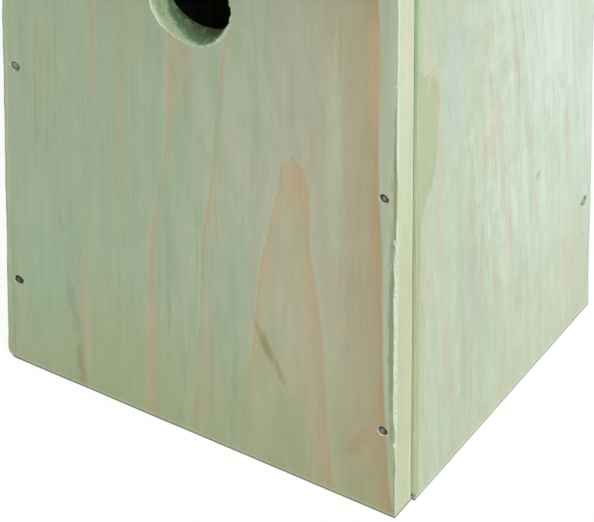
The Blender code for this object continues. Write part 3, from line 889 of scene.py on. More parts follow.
def only(obj: Piece) -> None:
    """Makes an object the only selected one, and active."""
    for other in bpy.context.view_layer.objects:
        other.select_set(False)
    obj.select_set(True)
    bpy.context.view_layer.objects.active = obj


@contextmanager
def editing(obj: Piece) -> Iterator[None]:
    """Edit mode on one object."""
    only(obj)
    bpy.ops.object.mode_set(mode="EDIT")
    try:
        yield
    finally:
        bpy.ops.object.mode_set(mode="OBJECT")


def choose(obj: Piece, kind: Pick, test: Test) -> None:
    """Selects the vertices, edges or faces that pass a test, and nothing else, in edit mode."""
    bpy.ops.mesh.select_mode(type=kind.value)
    bpy.ops.mesh.select_all(action="DESELECT")
    shape = bmesh.from_edit_mesh(obj.data)
    items = {Pick.VERTS: shape.verts, Pick.EDGES: shape.edges, Pick.FACES: shape.faces}[kind]
    for item in items:
        if test(item):
            item.select_set(True)
    shape.select_flush_mode()
    bmesh.update_edit_mesh(obj.data)


def runs_along(edge: Edge, axis: Vector, least: float = 3 * MM) -> bool:
    """Whether an edge is at least so long and parallel to an axis."""
    way = edge.verts[1].co - edge.verts[0].co
    return way.length > least and abs(way.normalized().dot(axis)) > 0.9999


def named(name: str) -> Piece:
    """Names the object that an operator has just added."""
    obj = bpy.context.active_object
    obj.name = name
    obj.data.name = name
    return obj


def settle(obj: Piece) -> None:
    """Puts an object's place, turn and scale into its mesh."""
    only(obj)
    bpy.ops.object.transform_apply(location=True, rotation=True, scale=True)


def start_block(name: str, low: Vector, high: Vector) -> Piece:
    """A cube at its size and place, to be shaped."""
    bpy.ops.mesh.primitive_cube_add(size=1, location=(low + high) / 2)
    obj = named(name)
    obj.scale = high - low
    settle(obj)
    return obj


def start_rod(
    name: str, radius: float, low: Vector, high: Vector, sides: int, far_radius: float | None = None
) -> Piece:
    """A cone or cylinder between two points, to be shaped."""
    way = high - low
    middle = (low + high) / 2
    bpy.ops.mesh.primitive_cone_add(
        vertices=sides, radius1=radius, radius2=far_radius or radius, depth=way.length, location=middle
    )
    obj = named(name)
    obj.rotation_euler = Z_AXIS.rotation_difference(way).to_euler()
    settle(obj)
    return obj


def saw_off(obj: Piece, point: Vector, normal: Vector) -> None:
    """Cuts an object by a plane and removes what is on the normal's side."""
    with editing(obj):
        bpy.ops.mesh.select_all(action="SELECT")
        bpy.ops.mesh.bisect(
            plane_co=point, plane_no=normal, use_fill=True, clear_outer=True, threshold=CUT_THRESHOLD
        )


def ease(obj: Piece, width: float, segments: int, test: Test) -> None:
    """Rounds the edges that pass a test."""
    with editing(obj):
        choose(obj, Pick.EDGES, test)
        bpy.ops.mesh.bevel(offset=width, segments=segments, profile=0.5, affect="EDGES")


def rule_off(obj: Piece, axis: Vector, spacing: float, margin: float = 0.0) -> None:
    """Cuts an object into even slices across an axis, which leaves its shape as it is.

    Args:
        obj: the object.
        axis: direction along which the slices follow each other.
        spacing: thickness of a slice.
        margin: depth of an extra narrow slice at each end, or zero for none.
    """
    reach = [vert.co.dot(axis) for vert in obj.data.vertices]
    low, high = min(reach), max(reach)
    count = max(1, round((high - low - 2 * margin) / spacing))
    places = [low + margin + (high - low - 2 * margin) * step / count for step in range(count + 1)]
    with editing(obj):
        for place in places if margin else places[1:-1]:
            bpy.ops.mesh.select_all(action="SELECT")
            bpy.ops.mesh.bisect(plane_co=axis * place, plane_no=axis, threshold=CUT_THRESHOLD)


def apply_modifiers(obj: Piece) -> None:
    """Applies every modifier on an object, in order."""
    only(obj)
    for step in list(obj.modifiers):
        bpy.ops.object.modifier_apply(modifier=step.name)


def joined(name: str, parts: list[Piece]) -> Piece:
    """Joins several objects into one."""
    only(parts[0])
    for part in parts[1:]:
        part.select_set(True)
    bpy.ops.object.join()
    return named(name)


def carve(obj: Piece, cutter: Piece) -> None:
    """Cuts an object with another, which is used up. The cut faces keep the cutter's material."""
    step = obj.modifiers.new("carve", "BOOLEAN")
    step.operation = "DIFFERENCE"
    step.solver = "EXACT"
    step.material_mode = "TRANSFER"
    step.object = cutter
    apply_modifiers(obj)
    bpy.data.objects.remove(cutter)


def copied(source: Piece, name: str, matrix: Matrix | None = None) -> Piece:
    """A copy with its own mesh, moved in its mesh by a matrix."""
    mesh = source.data.copy()
    if matrix:
        mesh.transform(matrix)
    mesh.name = name
    obj = bpy.data.objects.new(name, mesh)
    bpy.context.scene.collection.objects.link(obj)
    return obj


def roughen(
    obj: Piece, amount: float, size: float, seed: float, where: Callable[[Vector], float] | None = None
) -> None:
    """Moves an object's vertices by smooth noise.

    Args:
        obj: the object.
        amount: the most that a vertex moves.
        size: distance between bumps.
        seed: picks the pattern.
        where: share of the amount at a point.
    """
    shift = Vector((seed, seed * 1.7, seed * 0.6))
    for vert in obj.data.vertices:
        share = where(vert.co) if where else 1.0
        vert.co += noise.noise_vector(vert.co / size + shift) * amount * share


def mark_wear(obj: Piece, limit: float = math.radians(14)) -> None:
    """Writes the wear attribute: 1 where faces meet at an angle, as on arrises, and 0 on flat faces."""
    shape = bmesh.new()
    shape.from_mesh(obj.data)
    values = []
    for vert in shape.verts:
        bend = max((edge.calc_face_angle(0.0) for edge in vert.link_edges), default=0.0)
        values.append(1.0 if bend > limit else 0.0)
    shape.free()
    layer = obj.data.attributes.new(WEAR, "FLOAT", "POINT")
    layer.data.foreach_set("value", values)


def smooth(obj: Piece) -> None:
    """Smooth shading with sharp edges kept."""
    only(obj)
    bpy.ops.object.shade_smooth_by_angle(angle=SMOOTH_ANGLE)


def hand_over(obj: Piece, body: str, slot: str, *nodes: str) -> None:
    """Finishes a piece: it rides on a body and replaces CAD nodes. Its slot is not used."""
    smooth(obj)
    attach(obj, body)
    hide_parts(*nodes)
    LOG.info("%s: %d faces on %s", obj.name, len(obj.data.polygons), body)


def head_centre(node: str, outward: Vector) -> Vector:
    """Middle of a fastener's head, from its CAD node."""
    verts = [vert.co for vert in bpy.data.objects[node].data.vertices]
    top = max(vert.dot(outward) for vert in verts)
    rim = [vert for vert in verts if top - vert.dot(outward) < 0.05 * MM]
    return sum(rim, Vector()) / len(rim)


# Boards


@dataclass
class Board:
    """A planed board with worn arrises, seats for its nails and its own grain."""

    name: str
    low: Vector
    high: Vector
    finish: Material
    sawn: Material
    crushed: Material
    body: str = "box"
    slot: str = "treated_pine"
    slope_point: Vector | None = None
    arris: float = 0.8 * MM
    joint_arris: float = 0.3 * MM
    arris_steps: int = 3
    least_bend: float = math.radians(20)
    joint_depth: float = 0.6 * MM
    strip: float = 5 * MM
    support: float = 1.5 * MM
    worn_depth: float = 0.35 * MM
    worn_most: float = 1.4
    worn_in_joint: float = 0.25
    flat: float = 0.97
    seat: float = 1.68 * MM
    seed: float = 1.0

    def rough_out(self) -> Piece:
        """Block, sloping top and rounded arrises, divided so that the arrises can wear unevenly."""
        obj = start_block(self.name, self.low, self.high)
        if self.slope_point is not None:
            saw_off(obj, self.slope_point, SLOPE_NORMAL)
        self.round_corners(obj)
        self.ease_arrises(obj)
        for axis in (Z_AXIS, X_AXIS, Y_AXIS):
            rule_off(obj, axis, self.strip, self.support)
        self.wear_down(obj)
        return obj

    def round_corners(self, obj: Piece) -> None:
        """Larger corners, on the boards that have them."""

    def in_joint(self, point: Vector) -> bool:
        """Whether a point lies at the box's foot or where boards meet, which keeps the arrises crisp."""
        return 0 <= point.z < self.joint_depth

    def ease_arrises(self, obj: Piece) -> None:
        """Rounds the arrises, least where the board meets another."""

        def is_arris(edge: Edge, joint: bool) -> bool:
            sharp = edge.calc_face_angle(0.0) > self.least_bend
            return sharp and all(self.in_joint(vert.co) for vert in edge.verts) == joint

        with editing(obj):
            for joint, weight in ((False, 1.0), (True, self.joint_arris / self.arris)):
                choose(obj, Pick.EDGES, partial(is_arris, joint=joint))
                bpy.ops.transform.edge_bevelweight(value=weight)
        step = obj.modifiers.new("arrises", "BEVEL")
        step.limit_method = "WEIGHT"
        step.width = self.arris
        step.segments = self.arris_steps
        apply_modifiers(obj)
        obj.data.attributes.remove(obj.data.attributes["bevel_weight_edge"])

    def wear_down(self, obj: Piece) -> None:
        """Takes the arrises down unevenly, and leaves the faces as planed."""
        for vert in obj.data.vertices:
            if max(abs(part) for part in vert.normal) > self.flat:
                continue
            long_wave = noise.noise(vert.co / (22 * MM) + Vector((self.seed, 0, 0)))
            short_wave = noise.noise(vert.co / (5 * MM) + Vector((0, self.seed, 0)))
            share = max(0.0, 0.45 + 0.7 * long_wave + 0.5 * short_wave)
            if self.in_joint(vert.co):
                share *= self.worn_in_joint
            vert.co -= vert.normal * self.worn_depth * min(share, self.worn_most)

    def cutters(self) -> list[Piece]:
        """What is cut out of the board."""
        return []

    def rough_cutter(self, cutter: Piece, axis: Vector, spacing: float, grain: tuple, seed: float) -> Piece:
        """Makes a cutter uneven, as a saw or drill leaves the wood, and gives it the sawn finish.

        Args:
            cutter: the cutter.
            axis, spacing: how it is sliced.
            grain: how far its points move, and the distance between bumps.
            seed: picks the pattern.

        Returns:
            The cutter.
        """
        rule_off(cutter, axis, spacing)
        roughen(cutter, *grain, seed)
        cutter.data.materials.append(self.sawn)
        return cutter

    def nail_seats(self, nails: dict[str, Vector]) -> list[Piece]:
        """Cutters for the crushed wood round the nail heads, each a cone over a short bore.

        Args:
            nails: outward direction by CAD node name.

        Returns:
            All bores as one cutter and all cones as another.
        """
        bores, cones = [], []
        for number, (node, outward) in enumerate(nails.items()):
            head = head_centre(node, outward)
            slip = noise.noise_vector(Vector((self.seed, number * 2.3, 1.7))) * 0.16 * MM
            slip += (Z_AXIS.cross(outward) - Z_AXIS) * 0.05 * MM
            slip -= outward * slip.dot(outward)
            mouth = head + slip
            bore = start_rod("seat", self.seat, mouth - outward * 1.1 * MM, mouth + outward * MM, 20)
            low, high = mouth - outward * 0.25 * MM, mouth + outward * 0.5 * MM
            cone = start_rod("seat", self.seat - 0.1 * MM, low, high, 24, self.seat + 0.6 * MM)
            roughen(cone, 0.14 * MM, 1.1 * MM, self.seed + number)
            for cutter, group in ((bore, bores), (cone, cones)):
                cutter.data.materials.append(self.crushed)
                group.append(cutter)
        return [joined("bores", bores), joined("cones", cones)]

    def build(self) -> Piece:
        """The finished board."""
        obj = self.rough_out()
        obj.data.materials.append(self.finish)
        mark_wear(obj)
        for cutter in self.cutters():
            carve(obj, cutter)
        hand_over(obj, self.body, self.slot, self.name)
        return obj


@dataclass
class FrontBoard(Board):
    """Front board: entrance hole, climbing cuts behind it, chipped near arris."""

    entrance_radius: float = 15.5 * MM
    entrance_sides: int = 120
    entrance_wear: float = 1.05 * MM
    entrance_wear_way: float = math.radians(60)
    entrance_rise: Vector = Vector((0.2 * MM, 0, 0.75 * MM))
    swell: float = 1.35 * MM
    swell_place: tuple[float, float] = (math.radians(-25), math.radians(58))
    bite: float = 0.45 * MM
    bite_place: tuple[float, float] = (math.radians(46), math.radians(36))
    lip: float = 0.45 * MM
    swell_lip: float = 1.0 * MM
    kerfs: int = 5
    kerf_pitch: float = 12 * MM
    kerf_length: float = 60 * MM
    kerf_height: float = 2 * MM
    kerf_depth: float = 1.5 * MM
    kerf_top: float = 155 * MM
    torn_from: float = 36 * MM
    torn_to: float = 122 * MM
    torn_depth: float = 0.74 * MM
    corner: float = 3.4 * MM
    splinters: int = 110
    spur: float = math.radians(24)
    bored: Material | None = None
    torn: Material | None = None

    def in_joint(self, point: Vector) -> bool:
        """The rear arrises, which lie on the side boards, and the foot."""
        return point.y > self.high.y - self.joint_depth or super().in_joint(point)

    def round_corners(self, obj: Piece) -> None:
        """The knocked lower corner on the left."""

        def is_corner(edge: Edge) -> bool:
            corner = all(vert.co.z < MM and vert.co.x < self.low.x + MM for vert in edge.verts)
            return corner and runs_along(edge, Y_AXIS)

        ease(obj, self.corner, 6, is_corner)

    def hump(self, angle: float, place: tuple[float, float]) -> float:
        """1 at a place's middle angle on the entrance's edge, and 0 beyond its half width."""
        middle, half_width = place
        away = abs((angle - middle + math.pi) % (2 * math.pi) - math.pi) / half_width
        return math.cos(min(away, 1.0) * math.pi / 2) ** 2

    def reach(self, angle: float) -> float:
        """The entrance's radius at an angle: worn slightly oval, tight on one side and bitten above it."""
        oval = self.entrance_wear * math.cos(2 * (angle - self.entrance_wear_way))
        tight = self.swell * self.hump(angle, self.swell_place)
        return self.entrance_radius + oval - tight + self.bite * self.hump(angle, self.bite_place)

    def bore(self) -> Piece:
        """The entrance as the drill left it: a slightly uneven bore with a torn, eased lip."""
        face = ENTRANCE + self.entrance_rise
        thickness = self.high.y - self.low.y
        over = 1 * MM
        obj = start_rod(
            "entrance_bore",
            self.entrance_radius,
            face - Y_AXIS * over,
            face + Y_AXIS * (thickness + over),
            self.entrance_sides,
        )
        rule_off(obj, Y_AXIS, 0.25 * MM)
        for vert in obj.data.vertices:
            depth = vert.co.y - face.y
            out = Vector((vert.co.x - face.x, 0, vert.co.z - face.z))
            if out.length < self.entrance_radius * 0.5:
                continue
            out.normalize()
            angle = math.atan2(out.z, out.x)
            tight = self.hump(angle, self.swell_place)
            rim = min(1.0, max(depth, 0.0) / (self.lip * (1 + tight)))
            flare = (1 - math.sqrt(1 - (1 - rim) ** 2)) * (self.lip + self.swell_lip * tight)
            flare += max(0.0, 1 - max(thickness - depth, 0.0) / (1.4 * MM)) * 0.8 * self.lip
            grain = noise.noise(Vector((angle * 9, depth / (2.2 * MM), 3.1)))
            tear = max(0.0, noise.noise(Vector((angle * 5, depth / (6 * MM), 8.7))))
            ragged = noise.noise(Vector((angle * 12, 0.3, 5.7))) * max(0.0, 1 - max(depth, 0.0) / (1.6 * MM))
            flare += self.reach(angle) - self.entrance_radius + 0.5 * MM * ragged
            vert.co += out * (flare + 0.08 * MM * (1 + grain) + 0.4 * MM * tear * abs(out.x))
        obj.data.materials.append(self.bored)
        return obj

    def climbing_cuts(self) -> list[Piece]:
        """Shallow saw cuts on the inner face, for young birds to climb by."""
        made = []
        for row in range(self.kerfs):
            top = self.kerf_top - row * self.kerf_pitch
            half = self.kerf_length / 2
            low = Vector((ENTRANCE.x - half, self.high.y - self.kerf_depth, top - self.kerf_height))
            high = Vector((ENTRANCE.x + half, self.high.y + self.kerf_depth, top))
            cut = start_block("climbing_cut", low, high)
            made.append(self.rough_cutter(cut, X_AXIS, 3 * MM, (0.18 * MM, 3 * MM), self.seed + row))
        return made

    def torn_arris(self) -> Piece:
        """The long sliver that is missing from the near arris."""
        half = Vector((1.3 * MM, 1.0 * MM, (self.torn_to - self.torn_from) / 2))
        sliver = start_block("torn_arris", -half, half)
        rule_off(sliver, Z_AXIS, 1.2 * MM)
        for vert in sliver.data.vertices:
            end = abs(vert.co.z) / half.z
            if vert.co.y > 0:
                vert.co.y -= 0.6 * MM * max(0.0, end - 0.8) / 0.2
        sliver.rotation_euler = (0, 0, math.radians(52))
        corner = Vector((self.high.x, self.low.y, (self.torn_from + self.torn_to) / 2))
        inward = Vector((-math.sin(sliver.rotation_euler.z), math.cos(sliver.rotation_euler.z), 0))
        sliver.location = corner - inward * (half.y - self.torn_depth)
        settle(sliver)
        roughen(sliver, 0.2 * MM, 5 * MM, 5.2)
        roughen(sliver, 0.1 * MM, 1.6 * MM, 2.8)
        sliver.data.materials.append(self.torn)
        return sliver

    def chips(self) -> list[Piece]:
        """Small chips out of the arrises, as (across, height, size along the edge)."""
        made = []
        places = ((74.2, 121, 4.4), (74.3, 33, 4.4), (74.3, 187, 1.8), (74.3, 61, 1.6), (-74.5, 96, 1.6))
        for number, (across, height, size) in enumerate(places):
            bpy.ops.mesh.primitive_ico_sphere_add(subdivisions=3, radius=1 * MM)
            chip = named("chip")
            chip.scale = (1.1, 0.8, size / 2)
            chip.rotation_euler = (math.radians(14), math.radians(10), math.radians(35 * number))
            chip.location = (across * MM, self.low.y - 0.1 * MM, height * MM)
            settle(chip)
            roughen(chip, 0.45 * MM, 0.9 * MM, number * 3.3)
            chip.data.materials.append(self.torn)
            made.append(chip)
        return made

    def cutters(self) -> list[Piece]:
        """Bore, climbing cuts, nail seats, torn arris and chips."""
        nails = {f"front_nail_{side}_{n}": -Y_AXIS for side in ("left", "right") for n in (1, 2, 3)}
        seats = self.nail_seats(nails)
        return [self.bore(), joined("cuts", self.climbing_cuts()), self.torn_arris(), *seats, *self.chips()]

    def fringe(self) -> Piece:
        """Splinters and lifted fibres round the entrance's bore, made once and copied."""
        bpy.ops.mesh.primitive_cone_add(vertices=4, radius1=0.5, radius2=0.06, depth=1, location=(0, 0, 0.5))
        splinter = named("splinter")
        rule_off(splinter, Z_AXIS, 0.34)
        with editing(splinter):
            bpy.ops.mesh.select_all(action="SELECT")
            bpy.ops.mesh.subdivide(number_cuts=1, smoothness=0.2)
        face = ENTRANCE + self.entrance_rise
        parts = []
        for number in range(self.splinters):
            dice = noise.random_unit_vector()
            spread = noise.random()
            angle = 2 * math.pi * number / self.splinters + 0.2 * dice.x
            out = Vector((math.cos(angle), 0, math.sin(angle)))
            depth = (0.5 + 8.2 * spread**1.2) * MM
            root = face + out * (self.reach(angle) + 0.35 * MM) + Y_AXIS * depth
            side = abs(out.x)
            way = (-out * (0.5 + 0.3 * dice.y) + Y_AXIS * 0.5 * dice.z - Z_AXIS * 0.5 * side).normalized()
            length = (1.0 + 1.3 * noise.random()) * MM * (0.4 + 0.8 * side)
            width = (0.14 + 0.26 * noise.random()) * MM
            matrix = Matrix.LocRotScale(root, Z_AXIS.rotation_difference(way), (width, width * 1.8, length))
            parts.append(copied(splinter, "splinter_copy", matrix))
        way = Vector((math.cos(self.spur), 0, math.sin(self.spur)))
        root = face + way * (self.reach(self.spur) + 0.9 * MM) + Y_AXIS * 0.45 * MM
        size = (1.1 * MM, 1.1 * MM, 3 * MM)
        matrix = Matrix.LocRotScale(root, Z_AXIS.rotation_difference(-way), size)
        parts.append(copied(splinter, "spur", matrix))
        bpy.data.objects.remove(splinter)
        obj = joined("entrance_splinters", parts)
        obj.data.materials.append(self.torn)
        smooth(obj)
        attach(obj, self.body)
        LOG.info("%s: %d splinters", obj.name, self.splinters)
        return obj


@dataclass
class SideBoard(Board):
    """Side board with the groove that holds the floor."""

    seat: float = 1.56 * MM
    hand: float = 1.0
    groove_depth: float = 4 * MM
    groove_low: float = 7.7 * MM
    groove_high: float = 18.3 * MM
    groove_end: float = 64.9 * MM

    def in_joint(self, point: Vector) -> bool:
        """The front end, which meets the front board, and the foot."""
        return point.y < self.low.y + self.joint_depth or super().in_joint(point)

    def cutters(self) -> list[Piece]:
        """Stopped groove and nail seats."""
        inner = self.low.x if self.hand > 0 else self.high.x
        deep = inner + self.hand * self.groove_depth
        shallow = inner - self.hand * 2 * MM
        low = Vector((min(deep, shallow), self.low.y - 2 * MM, self.groove_low))
        high = Vector((max(deep, shallow), self.groove_end, self.groove_high))
        groove = start_block("floor_groove", low, high)
        self.rough_cutter(groove, Y_AXIS, 4 * MM, (0.1 * MM, 3 * MM), self.seed)
        word = "right" if self.hand > 0 else "left"
        nails = {f"side_nail_{word}_{n}": X_AXIS * self.hand for n in (1, 2, 3)}
        return [groove, *self.nail_seats(nails)]


@dataclass
class BackBoard(Board):
    """Back board with rounded upper corners and a hole to hang it by."""

    corner: float = 12 * MM
    hang_radius: float = 4 * MM
    hang_drop: float = 15 * MM

    def round_corners(self, obj: Piece) -> None:
        """The two upper corners."""
        top = self.high.z - MM

        def is_corner(edge: Edge) -> bool:
            return runs_along(edge, Y_AXIS) and min(vert.co.z for vert in edge.verts) > top

        ease(obj, self.corner, 12, is_corner)

    def cutters(self) -> list[Piece]:
        """Hanging hole and the seats of the two nails into the floor."""
        centre = Vector((0, (self.low.y + self.high.y) / 2, self.high.z - self.hang_drop))
        reach = Y_AXIS * (self.high.y - self.low.y)
        hole = start_rod("hanging_hole", self.hang_radius, centre - reach, centre + reach, 48)
        self.rough_cutter(hole, Y_AXIS, 1.5 * MM, (0.14 * MM, 1.6 * MM), 2.4)
        return [hole, *self.nail_seats({f"floor_nail_{side}": Y_AXIS for side in ("left", "right")})]


@dataclass
class FloorBoard(Board):
    """Floor board with four drain holes."""

    drain_radius: float = 4 * MM
    drain_places: Points = ((-41.2, -12.1), (41.2, -12.1), (-41.2, 40.9), (41.2, 40.9))

    def cutters(self) -> list[Piece]:
        """The drain holes."""
        holes = []
        for number, (across, deep) in enumerate(self.drain_places):
            foot = Vector((across * MM, deep * MM, self.low.z - 2 * MM))
            head = Vector((across * MM, deep * MM, self.high.z + 2 * MM))
            hole = start_rod("drain_hole", self.drain_radius, foot, head, 40)
            holes.append(self.rough_cutter(hole, Z_AXIS, 1.5 * MM, (0.16 * MM, 1.6 * MM), number))
        return [joined("drain_holes", holes)]


@dataclass
class Lid(Board):
    """Sloping lid board, built level about the hinge axis and then tilted to the roof's pitch."""

    rear: Vector = Vector((0, 0, 0))

    def rough_out(self) -> Piece:
        """Block about the hinge axis, plumb at its rear edge, worn and then tilted."""
        obj = start_block(self.name, self.low, self.high)
        saw_off(obj, self.rear, Vector((0, math.cos(ROOF_PITCH), -math.sin(ROOF_PITCH))))
        self.ease_arrises(obj)
        for axis in (X_AXIS, Y_AXIS, Z_AXIS):
            rule_off(obj, axis, self.strip, self.support)
        self.wear_down(obj)
        obj.rotation_euler = (ROOF_PITCH, 0, 0)
        obj.location = LID_AXIS
        settle(obj)
        return obj


# Hardware


def faces_down(face: bmesh.types.BMFace) -> bool:
    """Whether a face looks down."""
    return face.normal.z < FACES_DOWN


def draw_out(height: float, taper: float = 1.0) -> None:
    """Extrudes the chosen faces along Z, and narrows them to a share, in edit mode."""
    bpy.ops.mesh.extrude_region_move(TRANSFORM_OT_translate={"value": (0, 0, height)})
    if taper != 1.0:
        bpy.ops.transform.resize(value=(taper, taper, 1))


def on_rim(edge: Edge) -> bool:
    """Whether an edge is on the top of a fastener's head."""
    return all(vert.co.z > AT_ZERO for vert in edge.verts)


def turned_to(outward: Vector, place: Vector) -> Matrix:
    """Moves a piece that stands on zero along Z to a place, with Z turned outward."""
    return Matrix.LocRotScale(place, Z_AXIS.rotation_difference(outward), None)


@dataclass
class Nails:
    """Round-headed nails: one is modelled, and copied to every place."""

    finishes: dict[str, Material]
    head_radius: float = 1.5 * MM
    head_thickness: float = 0.8 * MM
    shank_radius: float = 0.9 * MM
    length: float = 28 * MM
    point: float = 3 * MM
    tip: float = 0.08
    sides: int = 28

    def pattern(self) -> Piece:
        """A nail with its head's top at zero: domed head with a hammered dent, shank and point."""
        thick = Vector((0, 0, self.head_thickness))
        obj = start_rod("nail", self.head_radius, -thick, Vector(), self.sides)
        with editing(obj):
            choose(obj, Pick.FACES, faces_down)
            bpy.ops.mesh.inset(thickness=self.head_radius - self.shank_radius)
            draw_out(self.head_thickness + self.point - self.length)
            draw_out(-self.point, self.tip)
        ease(obj, 0.22 * MM, 3, on_rim)
        with editing(obj):
            choose(obj, Pick.FACES, lambda face: face.normal.z > FACES_UP)
            for _ in range(3):
                bpy.ops.mesh.inset(thickness=0.33 * MM)
        for vert in obj.data.vertices:
            if vert.co.z > AT_ZERO:
                far = vert.co.xy.length / self.head_radius
                dent = noise.noise(vert.co / (0.9 * MM)) * 0.05 * MM
                vert.co.z -= 0.12 * MM * far**2 + abs(dent)
        obj.data.materials.append(self.finishes["steel"])
        mark_wear(obj)
        return obj

    def askew(self, number: int) -> Matrix:
        """The slightly different size and lean that a nail's head has from the hammer."""
        size = 0.92 + 0.1 * noise.noise(Vector((number * 1.37, 0.4, 2.1)))
        lean = Matrix.Identity(4)
        lean[2][0] = 0.07 * noise.noise(Vector((number * 1.9, 3.2, 0.3)))
        lean[2][1] = 0.07 * noise.noise(Vector((number * 2.3, 1.2, 5.3)))
        return lean @ Matrix.Diagonal((size, size, 1, 1))

    def build(self, nails: dict[str, Vector]) -> None:
        """Copies the nail to the place of each CAD node, given its outward direction."""
        pattern = self.pattern()
        for number, (node, outward) in enumerate(nails.items()):
            spin = Matrix.Rotation(2.4 * number, 4, "Z")
            nail = copied(pattern, node + "_detailed", self.askew(number))
            nail.data.transform(turned_to(outward, head_centre(node, outward)) @ spin)
            nail.data.materials[0] = self.finishes[NAIL_STATES.get(node, "steel")]
            hand_over(nail, "box", "dull_nail_steel", node)
        bpy.data.objects.remove(pattern)


@dataclass
class Screws:
    """Countersunk screws with a cross recess."""

    finish: Material
    head_radius: float = 2.2 * MM
    head_depth: float = 0.8 * MM
    shank_radius: float = 1.1 * MM
    length: float = 8.5 * MM
    point: float = 2.5 * MM
    tip: float = 0.1
    sides: int = 32

    def pattern(self) -> Piece:
        """A screw with its head's top at zero."""
        deep = Vector((0, 0, self.head_depth))
        obj = start_rod("screw", self.shank_radius, -deep, Vector(), self.sides, self.head_radius)
        with editing(obj):
            choose(obj, Pick.FACES, faces_down)
            draw_out(self.head_depth + self.point - self.length)
            draw_out(-self.point, self.tip)
        ease(obj, 0.1 * MM, 2, on_rim)
        obj.data.materials.append(self.finish)
        for turn in (0, math.pi / 2):
            half = Vector((1.25 * MM, 0.26 * MM, 0.5 * MM))
            arm = start_block("recess", -half, half)
            with editing(arm):
                choose(arm, Pick.FACES, faces_down)
                bpy.ops.transform.resize(value=(0.35, 0.6, 1))
            arm.rotation_euler = (0, 0, turn)
            settle(arm)
            arm.data.materials.append(self.finish)
            carve(obj, arm)
        return obj

    def build(self, screws: dict[str, tuple[str, Vector]]) -> None:
        """Copies the screw to each CAD node, given its body and outward direction."""
        pattern = self.pattern()
        for number, (node, (body, outward)) in enumerate(screws.items()):
            spin = Matrix.Rotation(0.9 * number, 4, "Z")
            screw = copied(pattern, node + "_detailed", turned_to(outward, head_centre(node, outward)) @ spin)
            hand_over(screw, body, "zinc_plated_steel", node)
        bpy.data.objects.remove(pattern)


@dataclass
class Hardware:
    """Hinge leaves, pins and wire parts, remodelled from merged copies of their CAD nodes."""

    finish: Material
    edge: float = 0.16 * MM
    round_up: float = 0.05 * MM
    facing: float = math.radians(75)
    straight: float = 3 * MM
    slices: int = 16

    def merged_copy(self, node: str) -> Piece:
        """A copy of a CAD node with its loose triangles joined into one surface."""
        obj = copied(bpy.data.objects[node], node + "_detailed")
        obj.data.materials.clear()
        obj.data.materials.append(self.finish)
        with editing(obj):
            bpy.ops.mesh.select_all(action="SELECT")
            bpy.ops.mesh.remove_doubles(threshold=0.002 * MM)
        return obj

    def pressed_part(self, node: str, body: str) -> None:
        """A hinge leaf or pin with its pressed edges rounded."""
        obj = self.merged_copy(node)
        with editing(obj):
            bpy.ops.mesh.select_all(action="SELECT")
            bpy.ops.mesh.dissolve_limited(angle_limit=math.radians(1))
        bevel = obj.modifiers.new("pressed_edges", "BEVEL")
        bevel.width = self.edge
        bevel.segments = 2
        bevel.limit_method = "ANGLE"
        bevel.angle_limit = math.radians(40)
        apply_modifiers(obj)
        hand_over(obj, body, "zinc_plated_steel", node)

    def wire_part(self, node: str, body: str) -> None:
        """A screw eye or hook of round wire, smoothed."""
        obj = self.merged_copy(node)
        with editing(obj):
            bpy.ops.mesh.select_all(action="SELECT")
            bpy.ops.mesh.normals_make_consistent(inside=False)
            bpy.ops.mesh.tris_convert_to_quads(face_threshold=self.facing, shape_threshold=self.facing)
            bpy.ops.transform.shrink_fatten(value=self.round_up)
            choose(obj, Pick.EDGES, lambda edge: edge.calc_length() > self.straight)
            bpy.ops.mesh.subdivide(number_cuts=self.slices)
        step = obj.modifiers.new("round_wire", "SUBSURF")
        step.levels = 2
        step.render_levels = 2
        apply_modifiers(obj)
        hand_over(obj, body, "zinc_plated_steel", node)


# Studio


